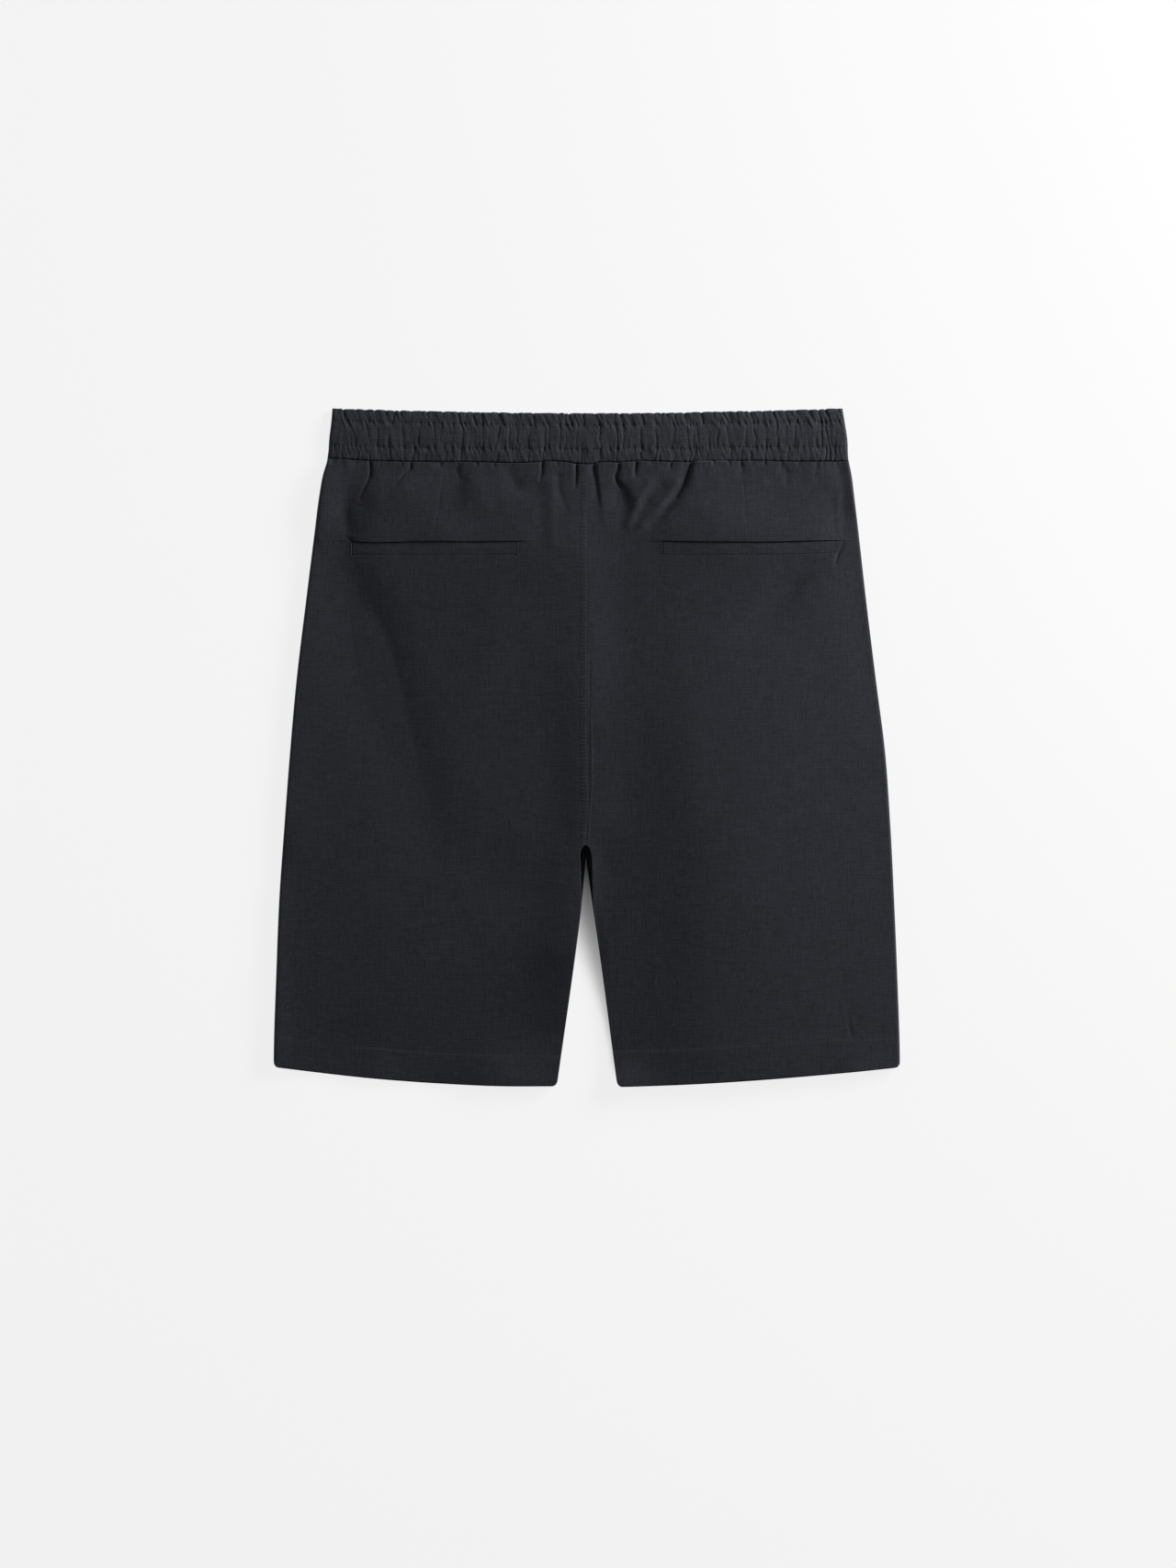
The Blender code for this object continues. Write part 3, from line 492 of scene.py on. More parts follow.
@dataclass(frozen=True)
class PocketMouth:
    """A back pocket's opening: the lines of its slit and of its lower seam, and where the slit lies shut."""

    side: Side
    slit_line: Table
    seam_line: Table
    shut_x: float
    shut_reach: float
    slit: float = 0.54
    slit_at_ends: float = 0.45
    end_reach: float = 9.0
    slit_depth: float = 1.5
    slit_wall: float = 0.3
    slit_over: float = 0.15
    shut: float = 0.75
    lip: float = 0.9
    lip_wall: float = 0.4
    lip_reach: float = 17.0
    lip_fade: float = 40.0
    bed: float = 0.95
    bed_low_wall: tuple[float, float] = (0.2, 0.7)
    bed_high_wall: float = 0.45
    bed_fade: float = 0.8
    wander: Uneven = Uneven(0.22, 9.0, 9.0, 51)

    def span(self) -> tuple[float, float]:
        """X of the opening's left and right end."""
        return self.slit_line[0][0], self.slit_line[-1][0]

    def inside(self, x: Array, margin: float) -> Array:
        """1 between the ends of the opening and 0 beyond them, over a soft margin."""
        left, right = self.span()
        return smooth((x - left) / margin + 0.5) * smooth((right - x) / margin + 0.5)

    def slit_top(self, x: Array) -> Array:
        """Y of the slit's upper edge."""
        return through(self.slit_line, x)

    def seam(self, x: Array) -> Array:
        """Y of the welt's lower seam."""
        return through(self.seam_line, x)

    def slit_width(self, x: Array) -> Array:
        """Width of the slit over the welt: a little uneven, narrow at its ends, nearly closed at one place.

        Args:
            x: X of the points.

        Returns:
            The width at every point.
        """
        left, right = self.span()
        inward = smooth(np.minimum(x - left, right - x) / self.end_reach)
        taper = self.slit_at_ends + (1.0 - self.slit_at_ends) * inward
        uneven = 1.0 + self.wander.at(x, 0.0 * x)
        return self.slit * taper * uneven * (1.0 - self.shut * bell(x - self.shut_x, self.shut_reach))

    def drop(self, x: Array, y: Array) -> Array:
        """How far the panel drops: a bed under the welt, the slit above it, and a lip that stands up.

        Args:
            x: X of the points.
            y: Y of the points.

        Returns:
            The drop at every point, less than nothing where the lip stands up.
        """
        top = self.slit_top(x)
        start, wall = self.bed_low_wall
        bed = smooth((y - self.seam(x) + start) / wall) * smooth((top - y) / self.bed_high_wall)
        half = self.slit_width(x) / 2.0
        slit = smooth((half + self.slit_over - np.abs(y - top + half)) / self.slit_wall)
        lip = self.lip * smooth((y - top + self.lip_wall) / self.lip_wall) * bell(y - top, self.lip_reach)
        sunk = np.maximum(self.bed * bed, self.slit_depth * slit)
        return sunk * self.inside(x, self.bed_fade) - lip * self.inside(x, self.lip_fade)


MOUTHS = {
    side: PocketMouth(side, *row)
    for side, row in {
        Side.LEFT: (
            ((-184.3, 162.4), (-180, 161.6), (-173, 161.1), (-150, 161.2), (-130, 161.7), (-90, 161.6),
             (-54, 161.9)),
            ((-184.3, 151), (-120, 150.8), (-54, 151.1)), -100.0, 8.0,
        ),
        Side.RIGHT: (
            ((58.3, 161.9), (80, 161.5), (110, 161.3), (150, 161.4), (170, 161.9), (195.1, 162.5)),
            ((58.3, 150.9), (110, 151.1), (150, 151.2), (172, 151.8), (195.1, 153.1)), 196.0, 3.0,
        ),
    }.items()
}


@dataclass(frozen=True)
class BackLie:
    """Heights of the back's outer face."""

    level: float = 3.3
    lowest: float = 1.9
    yoke_lift: float = 2.6
    yoke_y: float = 164.0
    yoke_up: float = 60.0
    yoke_down: float = 55.0
    body_lift: float = 0.5
    side_seam_z: float = 1.65
    hem_turn_up: float = 24.4
    hem_deeper: float = 3.9
    hem_deeper_to: tuple[float, float] = (240.0, 60.0)
    hem_step: float = 0.32
    hem_step_reach: float = 1.1
    hem_row: float = 1.4
    hem_row_dip: float = 0.1
    hem_round: tuple[float, float] = (1.0, 1.3)
    seam_drop: float = 1.25
    waist_edge: tuple[float, float] = (2.7, 0.3)
    seam_step: float = 0.16
    seam_lap: tuple[tuple[float, float], ...] = ((6.0, 3.0), (0.3, 0.8))
    seam_start: tuple[float, float] = (1.0, 6.0)
    seam_rows: tuple[float, float] = (1.3, 4.2)
    row_reach: float = 0.6
    row_dip: float = 0.12
    far_row_share: float = 0.6
    cloth: tuple[Uneven, ...] = (Uneven(0.16, 26.0, 34.0, 5), Uneven(0.06, 9.0, 12.0, 6))
    gathers: tuple[tuple[Uneven, float], ...] = (
        (Uneven(0.2, 6.0, 11.0, 7), 34.0), (Uneven(0.2, 2.1, 7.0, 8), 6.0),
    )
    hem_shows_mean: float = 0.75
    hem_shows: Uneven = Uneven(0.5, 24.0, 9.0, 9)

    def hem_depth(self, side: Side, x: Array) -> Array:
        """Depth of a hem's turn-up, which is a little deeper on the right leg, up to near its side fold.

        Args:
            side: The leg.
            x: X of the points.

        Returns:
            The depth at every point.
        """
        if side is Side.LEFT:
            return self.hem_turn_up + 0.0 * x
        end, fade = self.hem_deeper_to
        return self.hem_turn_up + self.hem_deeper * smooth((end - x) / fade)

    def rises(self, x: Array, y: Array) -> Array:
        """Height of the broad rises: a sum of bells.

        Args:
            x: X of the points.
            y: Y of the points.

        Returns:
            The height at every point.
        """
        total = np.zeros(np.broadcast(x, y).shape)
        for rise in RISES:
            reach = np.where(x > rise.x, rise.right, rise.left)
            total = total + rise.height * bell(x - rise.x, reach) * bell(y - rise.y, rise.along)
        return total

    def centre_seam(self, x: Array, y: Array) -> Array:
        """The felled centre seam: its left side stands up over the turned-in edges, and dips at the rows.

        Args:
            x: X of the points.
            y: Y of the points.

        Returns:
            The height at every point.
        """
        from_seam = x - CUT.centre_back(y)
        (left, left_wall), (right, right_wall) = self.seam_lap
        lap = smooth((from_seam + left) / left_wall) * smooth((right - from_seam) / right_wall)
        start, wall = self.seam_start
        above = smooth((y - CUT.crotch_back_y - start) / wall)
        near, far = (bell(from_seam + row, self.row_reach) for row in self.seam_rows)
        return above * (self.seam_step * lap - self.row_dip * (near + self.far_row_share * far))

    def height(self, side: Side, x: Array, y: Array) -> Array:
        """Z of the back's outer face before its edges roll down.

        Args:
            side: The panel's side.
            x: X of the points.
            y: Y of the points.

        Returns:
            Z of every point.
        """
        to_seam = CUT.waist_seam(x) - self.seam_drop - y
        from_hem = y - CUT.hem_line(side, x)
        yoke = self.yoke_lift * bell(y - self.yoke_y, np.where(y > self.yoke_y, self.yoke_up, self.yoke_down))
        z = self.level + self.body_lift + yoke + self.rises(x, y) + self.centre_seam(x, y)
        for folds, power in ((BODY_FOLDS, 2.0), (YOKE_FOLDS, 2.0), (CREASE_FOLDS, 1.4)):
            z = z - fold_relief(x, y, folds, power)
        for layer in self.cloth:
            z = z + layer.at(x, y)
        for layer, reach in self.gathers:
            z = z + layer.at(x, y) * bell(to_seam, reach)
        z = rolled(z, to_seam, self.waist_edge)
        from_turn_up = from_hem - self.hem_depth(side, x)
        shows = self.hem_shows_mean + self.hem_shows.at(x, 0.0 * x)
        z = z + self.hem_step * shows * smooth(-from_turn_up / self.hem_step_reach)
        z = z - self.hem_row_dip * shows * bell(from_turn_up + self.hem_row, self.row_reach)
        z = rolled(z, from_hem, self.hem_round)
        return np.maximum(z - MOUTHS[side].drop(x, y), self.lowest)


LIE = BackLie()


# Meshes


def grid_quads(shape: tuple[int, int], first: int, flip: bool) -> Array:
    """Corner numbers of the quads of a grid of points.

    Args:
        shape: Rows and columns of the grid.
        first: Number of the grid's first point.
        flip: True to turn the faces round.

    Returns:
        An array of quads.
    """
    n = first + np.arange(shape[0] * shape[1]).reshape(shape)
    quads = np.stack([n[:-1, :-1], n[:-1, 1:], n[1:, 1:], n[1:, :-1]], axis=-1).reshape(-1, 4)
    return quads[:, ::-1] if flip else quads


def rim(shape: tuple[int, int], first: int) -> Array:
    """Numbers of a grid's points round its edge, in order, ending where it starts."""
    n = first + np.arange(shape[0] * shape[1]).reshape(shape)
    return np.concatenate([n[0, :-1], n[:-1, -1], n[-1, :0:-1], n[:0:-1, 0], n[:1, 0]])


def new_mesh(name: str, points: Array, quads: Array, triangles: Array | None = None) -> bpy.types.Object:
    """A smooth-shaded mesh object at the origin.

    Args:
        name: Its name.
        points: Points in millimetres.
        quads: Quads as rows of point numbers.
        triangles: Triangles as rows of point numbers, if it has any.

    Returns:
        The object, linked to the scene.
    """
    mesh = bpy.data.meshes.new(name)
    faces = quads.tolist() + ([] if triangles is None else triangles.tolist())
    mesh.from_pydata((points.reshape(-1, 3) * MM).tolist(), [], faces)
    mesh.polygons.foreach_set("use_smooth", np.ones(len(mesh.polygons), dtype=bool))
    mesh.update()
    piece = bpy.data.objects.new(name, mesh)
    bpy.context.scene.collection.objects.link(piece)
    return piece


def new_shell(name: str, outer: Array, inner: Array, flip: bool) -> bpy.types.Object:
    """A closed shell of two grids of points, joined round their edges.

    Args:
        name: Its name.
        outer: The outer grid.
        inner: The inner grid, with as many points or with every second row and column of the outer one.
        flip: True where the outer grid's rows and columns turn the other way round.

    Returns:
        The shell's object.
    """
    shape, inner_shape = outer.shape[:2], inner.shape[:2]
    count = shape[0] * shape[1]
    points = np.concatenate([outer.reshape(-1, 3), inner.reshape(-1, 3)])
    quads = [grid_quads(shape, 0, flip), grid_quads(inner_shape, count, not flip)]
    a, b = rim(shape, 0), rim(inner_shape, count)
    if shape == inner_shape:
        join = np.stack([a[:-1], b[:-1], b[1:], a[1:]], axis=-1)
        return new_mesh(name, points, np.concatenate([*quads, join[:, ::-1] if flip else join]))
    start, middle, end, here, there = a[:-1:2], a[1::2], a[2::2], b[:-1], b[1:]
    fans = ((start, here, middle), (middle, here, there), (middle, there, end))
    fans = np.concatenate([np.stack(corners, axis=-1) for corners in fans])
    return new_mesh(name, points, np.concatenate(quads), fans[:, ::-1] if flip else fans)


def set_in(points: Array, thickness: Array | float, outward: float) -> Array:
    """The other face of the cloth: every second point of a grid, moved in by the thickness along its normal.

    A normal is the cross product of the grid's steps along its rows and along its columns, made 1 long.

    Args:
        points: The outer grid.
        thickness: The cloth's thickness at each of its points.
        outward: 1 where the grid's normals point out of the cloth, -1 where they point into it.

    Returns:
        The inner grid.
    """
    normals = np.cross(np.gradient(points, axis=1), np.gradient(points, axis=0))
    normals = normals / np.maximum(np.linalg.norm(normals, axis=-1, keepdims=True), 1e-9)
    return (points - outward * np.asarray(thickness)[..., None] * normals)[::2, ::2]


def report(piece: bpy.types.Object) -> None:
    """Logs a piece's name, its triangles and the height of its top.

    Args:
        piece: The piece.
    """
    mesh = piece.data
    places = np.empty(3 * len(mesh.vertices), np.float32)
    mesh.vertices.foreach_get("co", places)
    triangles = len(mesh.loops) - 2 * len(mesh.polygons)
    LOG.info("%s: %d triangles, top %.1f mm", piece.name, triangles, places[2::3].max() / MM)


# Panels


@dataclass
class BackPanel:
    """One back panel with its hem turned up, its dart and the bed of its pocket."""

    side: Side
    cloth: float = 0.7
    hem_cloth: float = 1.3
    side_roll: float = 2.2
    leg_roll: float = 0.25
    seam_roll: float = 0.5
    seam_sunk: float = 0.5
    columns: int = 281
    spare_column: int = 90

    def grid(self) -> Array:
        """Points of the outer face: rows from hem to waist, columns from the inner edge to the side fold.

        Returns:
            An array of rows by columns by 3.
        """
        hem, waist = CUT.hem_y, CUT.waist_y
        rows = graded(
            (hem, hem + 0.6, 0.15), (hem + 0.6, hem + 2.0, 0.35), (hem + 2.0, hem + 22.0, 3.3),
            (hem + 22.0, hem + 29.5, 0.5), (hem + 29.5, -90.0, 4.8), (-90.0, -74.0, 0.9),
            (-74.0, 140.0, 3.8), (140.0, 150.0, 1.6), (150.0, 153.0, 0.3), (153.0, 160.0, 1.2),
            (160.0, 163.8, 0.2), (163.8, waist - 2.2, 1.05), (waist - 2.2, waist - 0.7, 0.15),
            (waist - 0.7, waist, 0.35),
        )
        rows = odd(rows)[:, None]
        near = graded((0.0, 0.3, 0.08), (0.3, 6.6, 0.35), (6.6, 9.0, 0.8))
        far = graded((0.0, 0.35, 0.12), (0.35, 3.2, 0.5), (3.2, 6.0, 1.0))
        spread = np.linspace(0.0, 1.0, self.columns)[1:-1]
        inner, fold, legs = CUT.edges(self.side, rows)
        width = np.abs(fold - inner)
        middle = near[-1] + spread * (width - near[-1] - far[-1])
        start = np.broadcast_to(near, (len(rows), len(near)))
        from_inner = np.concatenate([start, middle, width - far[::-1]], axis=1)
        if from_inner.shape[1] % 2 == 0:  # set_in() needs an odd number of columns
            from_inner = np.delete(from_inner, len(near) + self.spare_column, axis=1)
        x = inner + self.side.value * from_inner
        y = CUT.warped(self.side, rows, x)
        z = LIE.height(self.side, x, y)
        seam_z = LIE.side_seam_z
        roll = self.seam_roll + (self.leg_roll - self.seam_roll) * legs
        foot = (z - self.seam_sunk) * (1.0 - legs) + seam_z * legs
        z = foot + (z - foot) * round_over(from_inner, roll)
        z = seam_z + (z - seam_z) * round_over(width - from_inner, self.side_roll)
        x, y = CUT.round_corners(self.side, x, y, inner, fold)
        return np.stack([x, y, z], axis=-1)

    def build(self) -> bpy.types.Object:
        """The panel as a closed shell of cloth, thicker where its hem is turned up.

        Returns:
            The panel's object.
        """
        points = self.grid()
        from_hem = points[..., 1] - CUT.hem_line(self.side, points[..., 0])
        doubled = smooth((LIE.hem_depth(self.side, points[..., 0]) - from_hem) / LIE.hem_step_reach)
        thickness = self.cloth + (self.hem_cloth - self.cloth) * doubled
        inner = set_in(points, thickness, self.side.value)
        return new_shell(f"back_cloth_{self.side.word}", points, inner, self.side is Side.LEFT)


@dataclass
class FrontPanel:
    """One front panel, lying on the table, with the lip that shows under the back's arch at the crotch."""

    side: Side
    cloth: float = 0.8
    side_roll: float = 3.2
    leg_roll: float = 1.3
    lip_z: float = 0.62
    seam_below: float = 0.05
    overlap: float = 0.1
    inner_gap: tuple[float, float] = (0.4, 0.5)
    inner_rolls: tuple[float, float] = (2.4, 2.0)
    lip_columns: int = 6
    turn_columns: int = 7
    flat_columns: int = 44
    roll_columns: int = 8

    def grids(self) -> tuple[Array, Array]:
        """The face on the table and the face inside the garment, with matching rows and columns.

        Returns:
            The two grids of points.
        """
        rows = graded(
            (-265.0, -264.4, 0.3), (-264.4, -262.0, 0.8), (-262.0, -130.0, 4.4), (-130.0, -90.0, 2.5),
            (-90.0, -70.0, 1.0), (-70.0, 225.9, 5.0),
        )[:, None]
        sign = self.side.value
        back, fold, legs = CUT.edges(self.side, rows)
        edge = CUT.centre_back(rows) + sign * (CUT.gap_front(rows) - self.overlap * (1.0 - legs))
        seam_z = LIE.side_seam_z - self.seam_below
        turn = np.sin(np.linspace(0.0, np.pi / 2.0, self.turn_columns))[1:]
        share = np.linspace(1.0, 0.0, self.lip_columns)
        top_x = edge + (back - edge) * share
        top_z = self.lip_z + (self.cloth - self.lip_z + (seam_z - self.cloth) * legs) * share**1.5
        under_x = edge + sign * self.leg_roll * (0.15 + 0.85 * legs) * (1.0 - np.sqrt(1.0 - turn**2))
        under_z = self.lip_z * (1.0 - turn) + 0.0 * under_x
        start, stop = under_x[:, -1:], fold - sign * self.side_roll
        flat_x = start + (stop - start) * np.linspace(0.0, 1.0, self.flat_columns)[1:-1]
        roll = np.radians(np.linspace(0.0, 90.0, self.roll_columns))
        side_x = stop + sign * self.side_roll * np.sin(roll)
        side_z = seam_z * (1.0 - np.cos(roll)) + 0.0 * side_x
        x = np.concatenate([top_x, under_x, flat_x, side_x], axis=1)
        z = np.concatenate([top_z, under_z, 0.0 * flat_x, side_z], axis=1)
        x, y = CUT.round_corners(self.side, x, CUT.warped(self.side, rows, x, True), edge, fold)
        outer = np.stack([x, y, z], axis=-1)

        first = back + sign * (self.inner_gap[0] + self.inner_gap[1] * legs)
        last = fold - sign * self.cloth
        x = first + (last - first) * np.linspace(0.0, 1.0, outer.shape[1]) ** 1.3
        z = self.cloth + 0.0 * x
        near_fold = np.abs(fold - x)
        side_roll, leg_roll = self.inner_rolls
        z = z + (seam_z - self.cloth) * (1.0 - round_over(near_fold - self.cloth, side_roll))
        z = z + legs * (seam_z - self.cloth) * (1.0 - round_over(np.abs(x - first), leg_roll))
        x, y = CUT.round_corners(self.side, x, CUT.warped(self.side, rows, x, True), edge, fold)
        return outer, np.stack([x, y, z], axis=-1)

    def build(self) -> bpy.types.Object:
        """The panel as a closed shell of cloth."""
        return new_shell(f"front_cloth_{self.side.word}", *self.grids(), self.side is Side.RIGHT)


@dataclass
class Welt:
    """A back pocket's welt: a folded strip that lies in the panel's bed, its folded edge along the slit."""

    mouth: PocketMouth
    thickness: float = 0.7
    crown: float = 0.12
    edge_round: tuple[float, float] = (0.45, 0.6)
    end_round: tuple[float, float] = (0.3, 0.5)
    end_gap: float = 0.35
    below_panel: float = 0.1
    uneven: Uneven = Uneven(0.12, 7.0, 3.0, 21)

    def build(self) -> bpy.types.Object:
        """The welt as a closed shell with rounded long edges, on the panel's own level.

        Returns:
            The welt's object.
        """
        m, gap = self.mouth, self.end_gap
        left, right = m.span()
        a, b = left + 2.0, right - 2.0
        x = graded((left + gap, a, 0.4), (a, b, 1.1), (b, right - gap, 0.4))
        share = odd(graded((0.0, 0.12, 0.02), (0.12, 0.86, 0.07), (0.86, 1.0, 0.02)))[:, None]
        x = odd(x)[None, :]
        low = m.seam(x) + 0.1
        high = m.slit_top(x) - m.slit_width(x)
        y = low + (high - low) * share
        bare = LIE.height(m.side, x, y) + m.drop(x, y)
        z = bare + self.crown * np.sin(np.pi * share) + self.uneven.at(x, y)
        ends = np.minimum(x - left, right - x) - gap
        sides = np.minimum(y - low, high - y)
        z = rolled(rolled(z, sides, self.edge_round), ends, self.end_round) - self.below_panel
        points = np.stack([x + 0.0 * z, y, z], axis=-1)
        under = points[::2, ::2] - np.array([0.0, 0.0, self.thickness])
        return new_shell(f"welt_cloth_{m.side.word}", points, under, False)


# Waistband

BAND_DEPTH = 38.0


class Zone(Enum):
    """The three strips that two stitch rows make of the casing, each from and to a share of its height."""

    LOWER = (0.0, 0.27)
    CHANNEL = (0.27, 0.75)
    RUFFLE = (0.75, 1.0)


# The gathers' creases across each strip: X at its lower and its upper end, and its depth.
CREASES = {
    Zone.RUFFLE: (
        (-188.6, -191.5, 1), (-179.3, -180.7, 0.5), (-170.6, -174.2, 1), (-164.2, -167, 1),
        (-156.2, -157, 0.6), (-152.6, -151.2, 0.9), (-142.6, -147.6, 1), (-137.5, -138.2, 0.9),
        (-131, -128.9, 0.7), (-121, -125.3, 0.7), (-113.8, -113, 0.9), (-99.4, -101.5, 0.9),
        (-94.3, -95, 0.5), (-88.6, -88.6, 0.7), (-81.4, -83.5, 1), (-76.3, -75.6, 0.4), (-65.5, -69.1, 1),
        (-55.4, -59, 1), (-48.2, -49.7, 0.7), (-41, -41.8, 0.8), (-31, -32.4, 0.4), (-20.9, -22.3, 0.7),
        (-16.6, -17.3, 0.7), (-12.2, -14.4, 1), (-2.2, -3.6, 0.6), (10.1, 5.8, 1), (15.1, 15.1, 0.5),
        (22.3, 21.6, 0.6), (28.8, 25.9, 1), (37.4, 33.8, 0.9), (45.4, 41, 1), (53.3, 51.8, 0.9),
        (58.3, 58.3, 0.6), (64.1, 61.9, 0.5), (69.8, 69.1, 0.6), (77.8, 75.6, 1), (85, 81.4, 0.8),
        (90.7, 89.3, 0.9), (101, 98, 0.5), (111.6, 104.4, 1.1), (118.8, 116.6, 0.5), (124.6, 123.1, 0.6),
        (131, 126.7, 1), (139.7, 137.5, 0.6), (149, 144.7, 1.1), (157, 154.8, 0.8), (165.6, 162.7, 0.8),
        (177.1, 172.8, 1), (183.6, 180.7, 1.3), (190.1, 186.5, 1.2),
    ),
    Zone.CHANNEL: (
        (-190.1, -191, 0.5), (-178.6, -186.5, 0.9), (-169.9, -172.8, 1), (-164.9, -163.4, 0.7),
        (-155.5, -155.5, 0.9), (-143.3, -145.4, 0.8), (-131.8, -131, 0.9), (-119.5, -120.2, 1),
        (-114.5, -114.5, 0.3), (-105.8, -104.4, 0.6), (-97.9, -97.9, 1), (-92.2, -91.4, 0.4),
        (-81.4, -82.1, 0.8), (-72, -68.4, 1), (-66.2, -67.4, 0.4), (-61.2, -61.2, 0.7), (-54, -55.4, 0.8),
        (-46.1, -44.6, 0.8), (-33.8, -32.4, 0.9), (-30.6, -29.5, 0.7), (-21.6, -20.9, 0.8),
        (-17.3, -16.6, 0.6), (-8.6, -7.2, 0.8), (10.8, 9.4, 1.1), (23.8, 22.3, 1), (28.1, 28.8, 0.8),
        (42.5, 42.5, 0.9), (54, 53.3, 0.8), (68.4, 67.7, 0.6), (79.9, 77.8, 1.1), (82.8, 85, 0.7),
        (87.8, 85.7, 0.8), (95, 95.8, 0.4), (101.5, 103.7, 0.6), (111.6, 108.7, 1.1), (123.8, 123.8, 0.4),
        (132.5, 130.3, 1), (140.4, 139.7, 0.7), (149, 149, 0.8), (154.1, 156.2, 0.7), (162, 162.7, 0.7),
        (173, 172, 0.4), (179, 180, 0.6), (184.3, 182.9, 1), (190.1, 186, 1), (191.5, 189.4, 0.9),
    ),
    Zone.LOWER: (
        (-192.2, -191.5, 0.8), (-179.3, -179.3, 0.7), (-170.6, -169.9, 0.5), (-164.9, -164.2, 0.5),
        (-154.8, -154.1, 0.7), (-143.3, -144.7, 0.8), (-137.5, -134.6, 0.9), (-127.4, -125.3, 0.7),
        (-120.2, -119.5, 0.5), (-111.6, -108.7, 0.6), (-99.4, -98.6, 0.8), (-90.7, -90, 0.4),
        (-82.8, -82.1, 0.7), (-72, -68.4, 0.5), (-57, -55.4, 0.7), (-46, -44.6, 0.5), (-35.3, -33.8, 0.9),
        (-21, -20.9, 0.4), (-5, -3.6, 1), (9.4, 10.1, 0.6), (23, 23.8, 0.8), (26.6, 27, 0.5),
        (41.8, 42.5, 0.8), (52.6, 54.7, 0.7), (56.9, 56.9, 0.9), (67.7, 68.4, 0.9), (79.9, 81.4, 0.6),
        (82.1, 85.7, 0.8), (93, 95, 0.4), (112.3, 113, 0.8), (121, 121, 0.7), (128.2, 128.9, 1),
        (139, 140.4, 1), (157, 157.7, 0.8), (166.3, 167.8, 0.7), (174, 174, 0.4), (181.5, 182.5, 0.5),
        (186.4, 187.4, 1.1), (190.1, 190.1, 1), (193, 194.4, 0.8),
    ),
}


